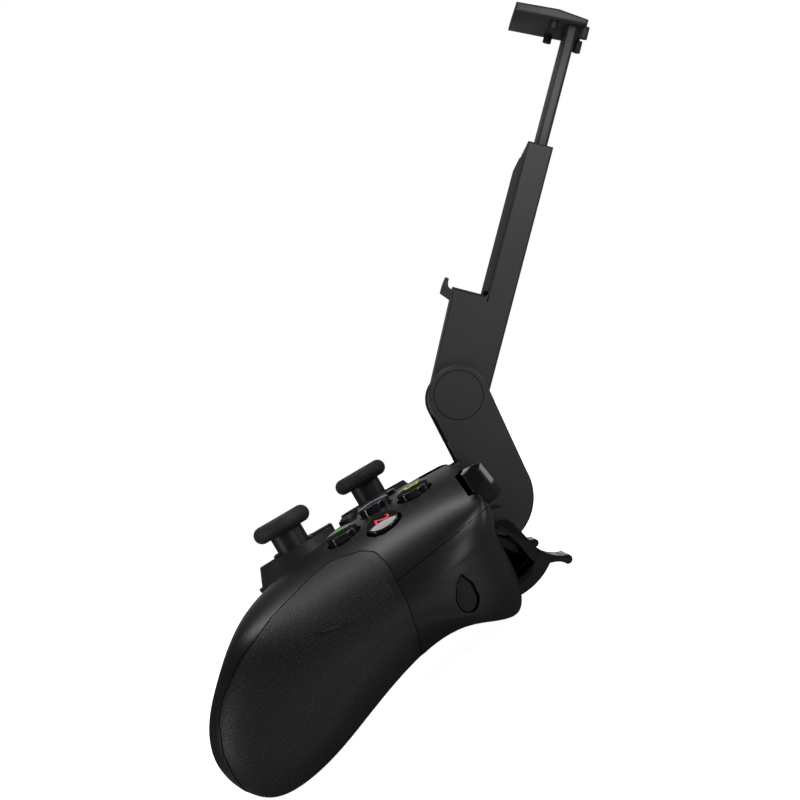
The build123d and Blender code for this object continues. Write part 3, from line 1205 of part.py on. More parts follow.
def gathered(piece):
    """One shape for a node, also where it holds several solids."""
    if isinstance(piece, (list, tuple)):
        return Compound([solid for item in piece for solid in item.solids()])
    solids = piece.solids()
    return solids[0] if len(solids) == 1 else Compound(solids)


def build():
    """All nodes, turned to stand on a table with the origin below the middle of their box."""
    build_body()
    build_inside()
    build_controls()
    build_clip()
    turned = {name: gathered(piece).rotate(Axis.X, -REST_TILT) for name, piece in parts.items()}
    box = Compound([solid for shape in turned.values() for solid in shape.solids()]).bounding_box()
    shift = Vector(-(box.min.X + box.max.X) / 2, -(box.min.Y + box.max.Y) / 2, -box.min.Z)
    return {name: shape.moved(Location(shift)) for name, shape in turned.items()}, shift


placed, SHIFT = build()
os.makedirs("parts", exist_ok=True)
for name, shape in placed.items():
    export_step(shape, os.path.join("parts", name + ".step"))
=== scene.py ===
# %% [markdown]
# # A mobile game controller with a phone clip
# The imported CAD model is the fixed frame: every piece keeps its place, and this script gives it its looks.
# The real object is nearly all black plastic, so its shape is read from highlights. That makes three things
# matter most: the lamps, how rough each plastic is, and the fine patterns that break the light up.

import json
import math

import bmesh
import bpy
import numpy as np
from mathutils import Matrix, Vector
from mathutils.bvhtree import BVHTree
from mathutils.interpolate import poly_3d_calc


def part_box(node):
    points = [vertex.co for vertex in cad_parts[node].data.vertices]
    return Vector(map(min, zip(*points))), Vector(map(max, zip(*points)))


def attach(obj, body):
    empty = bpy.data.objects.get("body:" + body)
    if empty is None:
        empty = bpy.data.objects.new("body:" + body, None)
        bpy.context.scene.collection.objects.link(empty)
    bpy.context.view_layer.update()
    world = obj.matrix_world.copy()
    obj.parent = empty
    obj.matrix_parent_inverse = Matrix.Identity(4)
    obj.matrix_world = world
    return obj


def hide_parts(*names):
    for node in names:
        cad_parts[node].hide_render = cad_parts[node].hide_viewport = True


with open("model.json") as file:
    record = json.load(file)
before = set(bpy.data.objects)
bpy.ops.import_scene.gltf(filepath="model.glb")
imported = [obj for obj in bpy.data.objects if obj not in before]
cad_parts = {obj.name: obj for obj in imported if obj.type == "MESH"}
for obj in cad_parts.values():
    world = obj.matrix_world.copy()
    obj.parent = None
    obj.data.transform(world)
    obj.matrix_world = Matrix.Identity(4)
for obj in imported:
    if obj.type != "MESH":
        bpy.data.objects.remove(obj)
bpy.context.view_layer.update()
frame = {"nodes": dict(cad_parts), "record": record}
nodes = frame["nodes"]

# %% [markdown]
# ## The face frame
# The buttons and sticks are easiest to place when the controller's face lies flat, so sizes are given in
# millimetres of that flat frame: X to the right hand, Y to the triggers, Z out of the face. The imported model
# rests on its grips, turned a few degrees from there, so one function brings a flat point into the scene.

# %% From the flat face to the resting pose
MM = 0.001
REST_TILT = math.radians(7.78)
AXLE_Y = 21.9
AXLE_Z = -24.4

TURN = Matrix.Rotation(-REST_TILT, 4, "X")
low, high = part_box("lower_axle")
axle_middle = (Vector(low) + Vector(high)) / 2
SHIFT = axle_middle - TURN @ (Vector((0, AXLE_Y, AXLE_Z)) * MM)
FACE = Matrix.Translation(SHIFT) @ TURN
FACE_MM = FACE @ Matrix.Scale(MM, 4)


def on_face(x, y, z):
    """A point of the flat frame, in millimetres, as a point of the scene."""
    return FACE_MM @ Vector((x, y, z))


def face_way(x, y, z):
    """A direction of the flat frame as a direction of the scene."""
    return (TURN.to_3x3() @ Vector((x, y, z))).normalized()


print("face origin", [round(v, 5) for v in on_face(0, 0, 0)])

# %% [markdown]
# ## Camera
# The photograph looks along the triggers' axles, from the right-hand side, and the picture is turned so that
# the grip points down. The vanishing point of the axles isn't in the picture's middle, so the lens has a
# small shift.

# %% Camera
PICTURE = 800
FOCAL_PIXELS = 1860
SENSOR = 36
NEAREST = 0.01
CAMERA_AWAY = 544
AIM_PIXEL = (370, 462)
RIGHT_SHARES = (0.0, 0.8634, -0.5045)
UP_SHARES = (0.0, 0.5045, 0.8634)

camera_data = bpy.data.cameras.new("camera")
camera_data.sensor_width = SENSOR
camera_data.lens = FOCAL_PIXELS * SENSOR / PICTURE
camera_data.shift_x = (PICTURE / 2 - AIM_PIXEL[0]) / PICTURE
camera_data.shift_y = (AIM_PIXEL[1] - PICTURE / 2) / PICTURE
camera_data.clip_start = NEAREST
camera = bpy.data.objects.new("camera", camera_data)
bpy.context.collection.objects.link(camera)
turned = Matrix((face_way(*RIGHT_SHARES), face_way(*UP_SHARES), face_way(1, 0, 0))).transposed().to_4x4()
camera.matrix_world = Matrix.Translation(on_face(CAMERA_AWAY, 0, 0)) @ turned
bpy.context.scene.camera = camera
bpy.context.scene.view_settings.view_transform = "Standard"
print("camera lens", round(camera_data.lens, 2), "at", [round(v, 3) for v in camera.location])

# %% [markdown]
# ## Light and background
# Black gloss shows lamps, not colour. A wide soft lamp above the face draws the pale band along the crown, a
# low one beside the camera lights the near side, and two upright strips give the sticks and buttons their
# narrow streaks. The arm has a small lamp of its own. The background is white only to the camera, and pale
# only in reflections that run straight behind the object, so it doesn't wash out the black.

# %% Lamps
# name, the way to the lamp, its long side's way, distance, length, width, power, and the place it looks at
FACE_MIDDLE = (20, 0, -10)
LAMPS = (
    ("crown_lamp", (-0.34, 0.04, 0.94), (0, 1, 0), 620, 560, 150, 1.0),
    ("low_lamp", (0.86, 0.04, -0.50), (0, 1, 0), 620, 420, 150, 0.75),
    ("side_lamp", (0.80, -0.46, -0.38), (0, 1, 0), 620, 260, 260, 0.25),
    ("rear_strip", (0.84, 0.54, 0.06), (0, 0, 1), 620, 440, 90, 0.55),
    ("front_strip", (0.30, -0.95, 0.05), (0, 0, 1), 620, 440, 90, 0.6),
    ("rear_lamp", (0.05, 0.97, 0.22), (0, 0, 1), 520, 260, 160, 0.3),
    ("arm_lamp", (0.92, 0.24, 0.31), (0, 1, 0), 150, 90, 60, 0.09, (12, 90, 62)),
)


def add_lamp(name, way, long_way, away, length, width, power, aim=FACE_MIDDLE):
    """A soft rectangular lamp that looks at one place; sizes in millimetres."""
    data = bpy.data.lights.new(name, "AREA")
    data.shape = "RECTANGLE"
    data.size = length * MM
    data.size_y = width * MM
    data.energy = power
    lamp = bpy.data.objects.new(name, data)
    bpy.context.collection.objects.link(lamp)
    middle = on_face(*aim)
    back = face_way(*way)
    across = back.cross(face_way(*long_way)).normalized()
    along = across.cross(back)
    lamp.matrix_world = Matrix.Translation(middle + back * away * MM) @ Matrix(
        (along, across, back)).transposed().to_4x4()


for lamp in LAMPS:
    add_lamp(*lamp)
print("lamps", len(LAMPS))

# %% World and floor
WORLD_FILL = 0.5
GLOSS_FILL = 0.05
BEHIND_FROM = 0.9
BEHIND_FULL = 0.98
BEHIND_STRENGTH = 0.4
WHITE = (1, 1, 1, 1)
FLOOR_HALF = 3.0
FLOOR_DROP = 0.0002
FLOOR_PALE = (0.9, 0.9, 0.9, 1)
FLOOR_BOUNCE = (0.18, 0.18, 0.18, 1)
FLOOR_GLOW = 0.96


def add_node(tree, kind, **settings):
    """A node with its sockets or options set by name."""
    node = tree.nodes.new(kind)
    for name, value in settings.items():
        if name in node.inputs.keys():
            node.inputs[name].default_value = value
        else:
            setattr(node, name, value)
    return node


def link(tree, source, target):
    """Joins two sockets."""
    tree.links.new(source, target)


world = bpy.data.worlds.new("studio")
bpy.context.scene.world = world
world.use_nodes = True
tree = world.node_tree
tree.nodes.clear()
path = add_node(tree, "ShaderNodeLightPath")
fill = add_node(tree, "ShaderNodeBackground", Color=WHITE, Strength=WORLD_FILL)
dim = add_node(tree, "ShaderNodeBackground", Color=WHITE, Strength=GLOSS_FILL)
white = add_node(tree, "ShaderNodeBackground", Color=WHITE, Strength=1.0)
beyond = add_node(tree, "ShaderNodeBackground", Color=WHITE, Strength=BEHIND_STRENGTH)
way = add_node(tree, "ShaderNodeTexCoord")
behind = add_node(tree, "ShaderNodeVectorMath", operation="DOT_PRODUCT")
behind.inputs[1].default_value = (-1, 0, 0)
edge = add_node(tree, "ShaderNodeMapRange")
edge.inputs["From Min"].default_value = BEHIND_FROM
edge.inputs["From Max"].default_value = BEHIND_FULL
link(tree, way.outputs["Generated"], behind.inputs[0])
link(tree, behind.outputs["Value"], edge.inputs["Value"])
seen = add_node(tree, "ShaderNodeMixShader")
link(tree, edge.outputs["Result"], seen.inputs[0])
link(tree, dim.outputs[0], seen.inputs[1])
link(tree, beyond.outputs[0], seen.inputs[2])
gloss = add_node(tree, "ShaderNodeMath", operation="MAXIMUM")
link(tree, path.outputs["Is Glossy Ray"], gloss.inputs[0])
link(tree, path.outputs["Is Transmission Ray"], gloss.inputs[1])
mirror = add_node(tree, "ShaderNodeMixShader")
link(tree, gloss.outputs[0], mirror.inputs[0])
link(tree, fill.outputs[0], mirror.inputs[1])
link(tree, seen.outputs[0], mirror.inputs[2])
pick = add_node(tree, "ShaderNodeMixShader")
output = add_node(tree, "ShaderNodeOutputWorld")
link(tree, path.outputs["Is Camera Ray"], pick.inputs[0])
link(tree, mirror.outputs[0], pick.inputs[1])
link(tree, white.outputs[0], pick.inputs[2])
link(tree, pick.outputs[0], output.inputs["Surface"])

floor_mesh = bpy.data.meshes.new("floor")
floor_corners = [(x * FLOOR_HALF, y * FLOOR_HALF, 0) for x, y in ((-1, -1), (1, -1), (1, 1), (-1, 1))]
floor_mesh.from_pydata(floor_corners, [], [(0, 1, 2, 3)])
floor = bpy.data.objects.new("floor", floor_mesh)
bpy.context.collection.objects.link(floor)
floor.location.z = -FLOOR_DROP
floor.visible_shadow = False
floor_paint = bpy.data.materials.new("floor_paint")
floor_paint.use_nodes = True
tree = floor_paint.node_tree
tree.nodes.clear()
matte = add_node(tree, "ShaderNodeBsdfDiffuse", Color=FLOOR_PALE)
bounce = add_node(tree, "ShaderNodeBsdfDiffuse", Color=FLOOR_BOUNCE)
glow = add_node(tree, "ShaderNodeEmission", Color=WHITE, Strength=FLOOR_GLOW)
both = add_node(tree, "ShaderNodeAddShader")
pick = add_node(tree, "ShaderNodeMixShader")
path = add_node(tree, "ShaderNodeLightPath")
output = add_node(tree, "ShaderNodeOutputMaterial")
link(tree, matte.outputs[0], both.inputs[0])
link(tree, glow.outputs[0], both.inputs[1])
link(tree, path.outputs["Is Camera Ray"], pick.inputs[0])
link(tree, bounce.outputs[0], pick.inputs[1])
link(tree, both.outputs[0], pick.inputs[2])
link(tree, pick.outputs[0], output.inputs["Surface"])
floor_mesh.materials.append(floor_paint)
print("world and floor", floor.name)

# %% [markdown]
# ## Finishes
# Moulded plastic is never quite even: a fine grain from the mould, faint flow clouds, and patches that
# handling has polished. One node group makes all three, so each plastic only says how strong they are.

# %% Moulded plastic as a node group
def new_group(name, inputs, outputs):
    """An empty shader node group with named sockets."""
    group = bpy.data.node_groups.new(name, "ShaderNodeTree")
    for label, kind, value in inputs:
        socket = group.interface.new_socket(label, in_out="INPUT", socket_type=kind)
        socket.default_value = value
    for label, kind in outputs:
        group.interface.new_socket(label, in_out="OUTPUT", socket_type=kind)
    return group


GRAIN_DEPTH = 0.0001
FLOAT = "NodeSocketFloat"
COLOUR = "NodeSocketColor"
VECTOR = "NodeSocketVector"

moulded = new_group(
    "moulded_surface",
    [("Dark", COLOUR, (0, 0, 0, 1)), ("Light", COLOUR, (1, 1, 1, 1)), ("Smooth", FLOAT, 0.3),
     ("Dull", FLOAT, 0.5), ("Grain per metre", FLOAT, 4000.0), ("Grain height", FLOAT, 0.2)],
    [("Colour", COLOUR), ("Roughness", FLOAT), ("Normal", VECTOR)])
given = moulded.nodes.new("NodeGroupInput")
result = moulded.nodes.new("NodeGroupOutput")
place = add_node(moulded, "ShaderNodeTexCoord")
clouds = add_node(moulded, "ShaderNodeTexNoise", Scale=38.0, Detail=4.0, Roughness=0.55)
patches = add_node(moulded, "ShaderNodeTexNoise", Scale=95.0, Detail=3.0, Roughness=0.6)
grain = add_node(moulded, "ShaderNodeTexNoise", Detail=2.0, Roughness=0.5)
for texture in (clouds, patches, grain):
    link(moulded, place.outputs["Object"], texture.inputs["Vector"])
link(moulded, given.outputs["Grain per metre"], grain.inputs["Scale"])
shade = add_node(moulded, "ShaderNodeMix", data_type="RGBA")
link(moulded, clouds.outputs["Fac"], shade.inputs["Factor"])
link(moulded, given.outputs["Dark"], shade.inputs[6])
link(moulded, given.outputs["Light"], shade.inputs[7])
link(moulded, shade.outputs[2], result.inputs["Colour"])
spread = add_node(moulded, "ShaderNodeMapRange")
link(moulded, patches.outputs["Fac"], spread.inputs["Value"])
link(moulded, given.outputs["Smooth"], spread.inputs["To Min"])
link(moulded, given.outputs["Dull"], spread.inputs["To Max"])
link(moulded, spread.outputs["Result"], result.inputs["Roughness"])
relief = add_node(moulded, "ShaderNodeBump", Distance=GRAIN_DEPTH)
link(moulded, given.outputs["Grain height"], relief.inputs["Strength"])
link(moulded, grain.outputs["Fac"], relief.inputs["Height"])
link(moulded, relief.outputs["Normal"], result.inputs["Normal"])
print("group", moulded.name, "inputs", len(moulded.interface.items_tree))


# %% The materials
COAT_ROUGHNESS = 0.03


def moulded_paint(name, dark, light, smooth, dull, grain_scale, grain_height):
    """A material whose colour, roughness and normal come from the moulded group, and its shader."""
    material = bpy.data.materials.new(name)
    material.use_nodes = True
    tree = material.node_tree
    shader = tree.nodes["Principled BSDF"]
    surface = add_node(tree, "ShaderNodeGroup", node_tree=moulded)
    settings = ((*dark, 1), (*light, 1), smooth, dull, grain_scale, grain_height)
    for label, value in zip(("Dark", "Light", "Smooth", "Dull", "Grain per metre", "Grain height"), settings):
        surface.inputs[label].default_value = value
    for label, target in (("Colour", "Base Color"), ("Roughness", "Roughness"), ("Normal", "Normal")):
        link(tree, surface.outputs[label], shader.inputs[target])
    return material, shader


def finish_of(name, dark, light, smooth, dull, grain_scale, grain_height,
              metallic=0.0, coat=0.0, specular=0.5):
    """One of the object's plastics, rubbers or metals."""
    material, shader = moulded_paint(name, dark, light, smooth, dull, grain_scale, grain_height)
    shader.inputs["Metallic"].default_value = metallic
    shader.inputs["Coat Weight"].default_value = coat
    shader.inputs["Coat Roughness"].default_value = COAT_ROUGHNESS
    shader.inputs["Specular IOR Level"].default_value = specular
    return material


def grey(value, blue=0.0):
    """An even grey, or one with a little more blue."""
    return (value, value, value * (1 + blue))


finishes = {
    "shell": finish_of("satin_shell", grey(0.004), grey(0.006, 0.1), 0.30, 0.37, 5200.0, 0.10),
    "grip_texture": finish_of("grip_rubber", grey(0.004), grey(0.006, 0.05), 0.40, 0.48, 3800.0, 0.25),
    "collar": finish_of("collar_plastic", grey(0.01), grey(0.016, 0.1), 0.40, 0.5, 4200.0, 0.15),
    "board_green": finish_of("board_lacquer", (0.012, 0.09, 0.035), (0.03, 0.17, 0.07), 0.22, 0.4, 1800.0,
                             0.3),
    "battery_wrap": finish_of("battery_foil", grey(0.42), grey(0.6, 0.05), 0.3, 0.5, 900.0, 0.5,
                              metallic=0.8),
    "silicone": finish_of("key_silicone", grey(0.28), grey(0.4, 0.04), 0.45, 0.6, 2500.0, 0.1),
    "inner_plastic": finish_of("inner_plastic", grey(0.006), grey(0.01), 0.5, 0.6, 3200.0, 0.2),
    "steel": finish_of("bright_steel", grey(0.45), grey(0.6), 0.2, 0.34, 2800.0, 0.15, metallic=1.0),
    "spring_steel": finish_of("spring_steel", grey(0.3), grey(0.45, 0.08), 0.25, 0.4, 2600.0, 0.2,
                              metallic=1.0),
    "stick_plastic": finish_of("stem_plastic", grey(0.009), grey(0.014, 0.1), 0.38, 0.5, 4600.0, 0.12),
    "stick_rubber": finish_of("cap_rubber", grey(0.016), grey(0.026), 0.5, 0.62, 4200.0, 0.25),
    "gloss_black": finish_of("gloss_black", grey(0.003), grey(0.005, 0.2), 0.05, 0.12, 2500.0, 0.01,
                             coat=0.4),
    "arm_plastic": finish_of("arm_plastic", grey(0.019), grey(0.024, 0.04), 0.44, 0.54, 4800.0, 0.16),
    "rod_plastic": finish_of("rod_plastic", grey(0.015), grey(0.02, 0.05), 0.38, 0.5, 4400.0, 0.12),
    "pad_rubber": finish_of("pad_rubber", grey(0.008), grey(0.012), 0.55, 0.68, 3000.0, 0.3),
}
seam_black = finish_of("seam_black", grey(0.0008), grey(0.0016), 0.6, 0.75, 5000.0, 0.1, specular=0.15)
stud_rubber = finish_of("stud_rubber", grey(0.018), grey(0.028, 0.05), 0.36, 0.46, 6000.0, 0.1)
rim_rubber = finish_of("rim_rubber", grey(0.02), grey(0.03, 0.05), 0.45, 0.58, 6000.0, 0.1)
print("materials", len(finishes))

# %% Put each finish in the CAD nodes' slots
slot_of = {part["node"]: part["material_slot"] for part in frame["record"]["subparts"]}
for name, piece in nodes.items():
    for holder in piece.material_slots:
        holder.material = finishes[slot_of[name]]
print("finished nodes", len(nodes))

# %% [markdown]
# ## Pieces in mesh code
# A few helpers serve all the pieces made here: one turns points and faces into a finished object that rides
# on a body, one turns a profile round an axis as a lathe does, and one softens the edges of a CAD piece.
# A moulded edge is never a knife edge, and its thin highlight is what makes black plastic look solid.

# %% Helpers for pieces
SHARP = math.radians(32)


def finished(name, mesh, body, slot, smooth=True):
    """Links a mesh as a piece of the object, shades it and lets it ride on its body."""
    piece = bpy.data.objects.new(name, mesh)
    bpy.context.collection.objects.link(piece)
    if not mesh.materials:
        mesh.materials.append(finishes[slot])
    if smooth:
        mesh.shade_smooth()
        mesh.set_sharp_from_angle(angle=SHARP)
    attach(piece, body)
    return piece


def turned_mesh(name, profile, place, steps):
    """Turns a profile of (radius, height) points in millimetres round the Z axis of a placed frame."""
    points, faces, rings = [], [], []
    for radius, height in profile:
        if radius == 0:
            rings.append([len(points)])
            points.append(place @ Vector((0, 0, height)))
            continue
        ring = []
        for step in range(steps):
            angle = math.tau * step / steps
            ring.append(len(points))
            points.append(place @ Vector((radius * math.cos(angle), radius * math.sin(angle), height)))
        rings.append(ring)
    for upper, lower in zip(rings, rings[1:]):
        for step in range(steps):
            following = (step + 1) % steps
            a, b = upper[step % len(upper)], upper[following % len(upper)]
            c, d = lower[following % len(lower)], lower[step % len(lower)]
            corner = [v for i, v in enumerate((a, d, c, b)) if v not in (a, d, c, b)[:i]]
            if len(corner) > 2:
                faces.append(corner)
    mesh = bpy.data.meshes.new(name)
    mesh.from_pydata([tuple(point) for point in points], [], faces)
    mesh.update()
    return mesh


def arc_points(centre, radius, start, end, count):
    """Points of an arc in a profile, angles in degrees."""
    made = []
    for step in range(count + 1):
        angle = math.radians(start + (end - start) * step / count)
        made.append((centre[0] + radius * math.cos(angle), centre[1] + radius * math.sin(angle)))
    return made


print("helpers ready")

# %% [markdown]
# ## Softened edges
# The CAD solids have crisp edges. A merged copy of the mesh gets a narrow bevel on its sharp edges only, and
# takes the CAD node's place.

# %% Helpers for softened edges
MERGE = 1e-6
FLAT = math.radians(0.6)
STILL_SHARP = math.radians(40)


def merged_copy(name):
    """A copy of a CAD node's mesh, with its loose triangles joined and flat areas made single faces."""
    mesh = nodes[name].data.copy()
    mesh.name = name + "_soft"
    work = bmesh.new()
    work.from_mesh(mesh)
    bmesh.ops.remove_doubles(work, verts=work.verts, dist=MERGE)
    bmesh.ops.dissolve_limit(work, angle_limit=FLAT, verts=work.verts, edges=work.edges)
    work.to_mesh(mesh)
    work.free()
    return mesh


def soften(name, body, slot, width, segments=2):
    """Replaces a CAD node by its copy with narrow rounded edges."""
    mesh = merged_copy(name)
    mesh.materials.clear()
    mesh.materials.append(finishes[slot])
    piece = bpy.data.objects.new(name + "_soft", mesh)
    bpy.context.collection.objects.link(piece)
    bevel = piece.modifiers.new("edges", "BEVEL")
    bevel.width = width * MM
    bevel.segments = segments
    bevel.limit_method = "ANGLE"
    bevel.angle_limit = SHARP
    bevel.use_clamp_overlap = True
    bevel.miter_outer = "MITER_ARC"
    depsgraph = bpy.context.evaluated_depsgraph_get()
    made = bpy.data.meshes.new_from_object(piece.evaluated_get(depsgraph))
    piece.modifiers.clear()
    piece.data = made
    made.shade_smooth()
    made.set_sharp_from_angle(angle=STILL_SHARP)
    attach(piece, body)
    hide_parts(name)
    return piece


print("edges sharper than", round(math.degrees(SHARP)), "degrees get a bevel")

# %% [markdown]
# ## Evened shells and grip panels
# The shells and panels are fine triangles, and each triangle's own normal would show as a facet in the gloss.
# Copies take their place, and every corner's normal is blended over the outer skin around it. Edges that turn
# away from the blend, such as those of wells and rooms, keep their own normals.

# %% Which triangles are on the outer skin
# lengths in metres
LIFT_OFF = 0.0003
CLEAR = 0.05
THIN = 1e-12
TINY = 1e-15


def triangles_of(mesh):
    """Corners, normal and area of each triangle of a mesh, as arrays."""
    corners = np.empty(len(mesh.vertices) * 3, np.float32)
    mesh.vertices.foreach_get("co", corners)
    corners = corners.reshape(-1, 3)
    faces = np.array([polygon.vertices[:] for polygon in mesh.polygons])
    a, b, c = corners[faces[:, 0]], corners[faces[:, 1]], corners[faces[:, 2]]
    cross = np.cross(b - a, c - a)
    double = np.linalg.norm(cross, axis=1)
    return corners, faces, cross / np.maximum(double, THIN)[:, None], double / 2


def open_to_air(faces, corners, normals, around):
    """Which triangles see free air in front of them, and so belong to the outer skin."""
    middles = corners[faces].mean(axis=1)
    seen = np.zeros(len(faces), bool)
    for index, (middle, normal) in enumerate(zip(middles, normals)):
        way = Vector(normal)
        hit = around.ray_cast(Vector(middle) + way * LIFT_OFF, way, CLEAR)
        seen[index] = hit[0] is None
    return seen


def corner_ways(corners, faces, normals, areas, seen):
    """The mean direction of the skin's triangles round each corner, by area, at any length."""
    own = np.zeros_like(corners)
    for corner in range(3):
        np.add.at(own, faces[seen, corner], normals[seen] * areas[seen, None])
    return own


print("skin helpers ready")

# %% Normals blended over the skin
# lengths in metres; REACH counts in spreads
SKIN_SPREAD = 0.0042
REACH = 2.6
CELL = 0.005
SAMPLE_AREA = 1.6e-6
SAMPLE_SEED = 7
SAME_SIDE = 0.6


def even_samples(skins):
    """Points spread evenly over the outer skin, each with its triangle's normal."""
    chance = np.random.default_rng(SAMPLE_SEED)
    spots, ways = [], []
    for corners, faces, normals, areas, seen in skins:
        counts = np.ceil(areas[seen] / SAMPLE_AREA).astype(int)
        picked = np.repeat(np.flatnonzero(seen), counts)
        weight = np.repeat(areas[seen] / counts, counts)
        share = np.sqrt(chance.random(len(picked)))[:, None]
        other = chance.random(len(picked))[:, None]
        a, b, c = (corners[faces[picked, corner]] for corner in range(3))
        spots.append((1 - share) * a + share * (1 - other) * b + share * other * c)
        ways.append(normals[picked] * weight[:, None])
    return np.concatenate(spots).astype(np.float32), np.concatenate(ways).astype(np.float32)


def blended(points, own, spots, ways):
    """Normals averaged over the skin near each point, leaving out what faces another way."""
    units = ways / np.maximum(np.linalg.norm(ways, axis=1), TINY)[:, None]
    cells = np.floor(points / CELL).astype(int)
    found, cell_of = np.unique(cells, axis=0, return_inverse=True)
    cell_of = cell_of.ravel()
    order = np.argsort(cell_of, kind="stable")
    ends = np.cumsum(np.bincount(cell_of, minlength=len(found)))
    made = np.zeros_like(points)
    start = 0
    for cell, end in zip(found, ends):
        mine = order[start:end]
        start = end
        middle = (cell + 0.5) * CELL
        near = np.flatnonzero((np.abs(spots - middle) < CELL / 2 + REACH * SKIN_SPREAD).all(axis=1))
        gap = ((points[mine][:, None, :] - spots[near][None, :, :]) ** 2).sum(axis=2)
        weight = np.exp(-gap / (2 * SKIN_SPREAD ** 2))
        weight *= own[mine] @ units[near].T > SAME_SIDE
        made[mine] = weight @ ways[near]
    return made / np.maximum(np.linalg.norm(made, axis=1), TINY)[:, None]


print("blend over", SKIN_SPREAD, "m")

# %% Copies of the shells and panels
SKIN_NODES = ("top_shell", "bottom_shell", "right_grip_panel", "left_grip_panel")


def smooth_copy(name, body, slot):
    """Replaces a CAD node by its welded copy, sharp only at real edges."""
    mesh = nodes[name].data.copy()
    mesh.name = name + "_skin"
    work = bmesh.new()
    work.from_mesh(mesh)
    bmesh.ops.remove_doubles(work, verts=work.verts, dist=MERGE)
    bmesh.ops.triangulate(work, faces=work.faces)
    work.to_mesh(mesh)
    work.free()
    mesh.materials.clear()
    if "custom_normal" in mesh.attributes:
        mesh.attributes.remove(mesh.attributes["custom_normal"])
    piece = finished(name + "_skin", mesh, body, slot)
    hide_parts(name)
    return piece


skin_pieces = [smooth_copy(name, "controller", "grip_texture" if "panel" in name else "shell")
               for name in SKIN_NODES]
print("copies", [piece.name for piece in skin_pieces])

# %% [markdown]
# A panel's widest place has a crease that a moulded panel wouldn't have. A smooth sheet is fitted through
# the surface on both sides of it, the corners near the crease move onto that sheet, and a fine cover lies
# over the crease itself, a hair higher in its middle and as much lower at its rim.

# %% Even out the crease of each panel
# lengths in metres; the crease's ends are (y, z)
CREASE_FROM = (-0.070, 0.0355)
CREASE_TO = (-0.045, 0.0234)
CREASE_HALF = 0.024
CREASE_FIT = 0.0115
CREASE_REACH = 0.0075
CREASE_CORE = 0.0035
CREASE_WEIGHT = 0.1
SHEET_ORDER = 6
SHEET_CROSS = 5
PANEL_HALF = 0.0007
FAR_OUT = 0.12
COVER_LIFT = 0.000045
COVER_FALL = 4
COVER_MESH = 0.0008


def eased(share):
    """A share from 0 to 1 that starts and ends gently."""
    return share * share * (3 - 2 * share)


def even_bulge(mesh, sign):
    """Evens out the crease over a panel's widest place: a fitted sheet takes its place there."""
    work = bmesh.new()
    work.from_mesh(mesh)
    search = BVHTree.FromBMesh(work)
    start, end = np.array(CREASE_FROM), np.array(CREASE_TO)
    along = (end - start) / np.linalg.norm(end - start)
    middle = (start + end) / 2

    def measure(y, z):
        """Distance from the crease's line, and the place along and across it in shares."""
        gap = np.array((y, z)) - start
        walked = np.clip(gap @ along, 0, np.linalg.norm(end - start))
        off = np.array((y, z)) - middle
        shares = (off @ along / CREASE_HALF, (off[1] * along[0] - off[0] * along[1]) / CREASE_HALF)
        return np.linalg.norm(gap - walked * along), shares

    def surface(y, z):
        """How far out the panel reaches at a place."""
        hit = search.ray_cast(Vector((sign * FAR_OUT, y, z)), Vector((-sign, 0, 0)))
        return 0.0 if hit[0] is None else sign * hit[0].x

    def sheet_terms(shares):
        """The powers that the fitted sheet is made of."""
        return np.array([shares[0] ** a * shares[1] ** b for a in range(SHEET_ORDER)
                         for b in range(SHEET_CROSS) if a + b < SHEET_ORDER])

    rows, heights = [], []
    low, high = np.minimum(start, end) - CREASE_FIT, np.maximum(start, end) + CREASE_FIT
    for y in np.arange(low[0], high[0], MM):
        for z in np.arange(low[1], high[1], MM):
            distance, shares = measure(y, z)
            reach = surface(y, z) if distance < CREASE_FIT else 0
            if reach:
                weight = 1.0 if distance > CREASE_CORE else CREASE_WEIGHT
                rows.append(sheet_terms(shares) * weight)
                heights.append(reach * weight)
    sheet = np.linalg.lstsq(np.array(rows), np.array(heights), rcond=None)[0]
    touched = []
    for vert in work.verts:
        distance, shares = measure(vert.co.y, vert.co.z)
        if distance > CREASE_REACH:
            continue
        reach = surface(vert.co.y, vert.co.z)
        if reach - sign * vert.co.x > PANEL_HALF:
            continue
        share = eased(min(1.0, (CREASE_REACH - distance) / (CREASE_REACH - CREASE_CORE)))
        vert.co.x = sign * (share * (sheet_terms(shares) @ sheet) + (1 - share) * reach)
        touched.append(vert)
    cover = {}
    for column, y in enumerate(np.arange(low[0], high[0], COVER_MESH)):
        for row, z in enumerate(np.arange(low[1], high[1], COVER_MESH)):
            distance, shares = measure(y, z)
            if distance < CREASE_CORE:
                lift = COVER_LIFT * (1 - 2 * (distance / CREASE_CORE) ** COVER_FALL)
                reach = sheet_terms(shares) @ sheet + lift
                cover[column, row] = work.verts.new((sign * reach, y, z))
    for column, row in cover:
        ring = [(column, row), (column + 1, row), (column + 1, row + 1), (column, row + 1)]
        if all(place in cover for place in ring):
            work.faces.new([cover[place] for place in ring][::sign])
    bmesh.ops.triangulate(work, faces=work.faces)
    print(mesh.name, "evened", len(touched), "cover", len(cover))
    work.to_mesh(mesh)
    work.free()


for name, sign in (("right_grip_panel", 1), ("left_grip_panel", -1)):
    even_bulge(skin_pieces[SKIN_NODES.index(name)].data, sign)

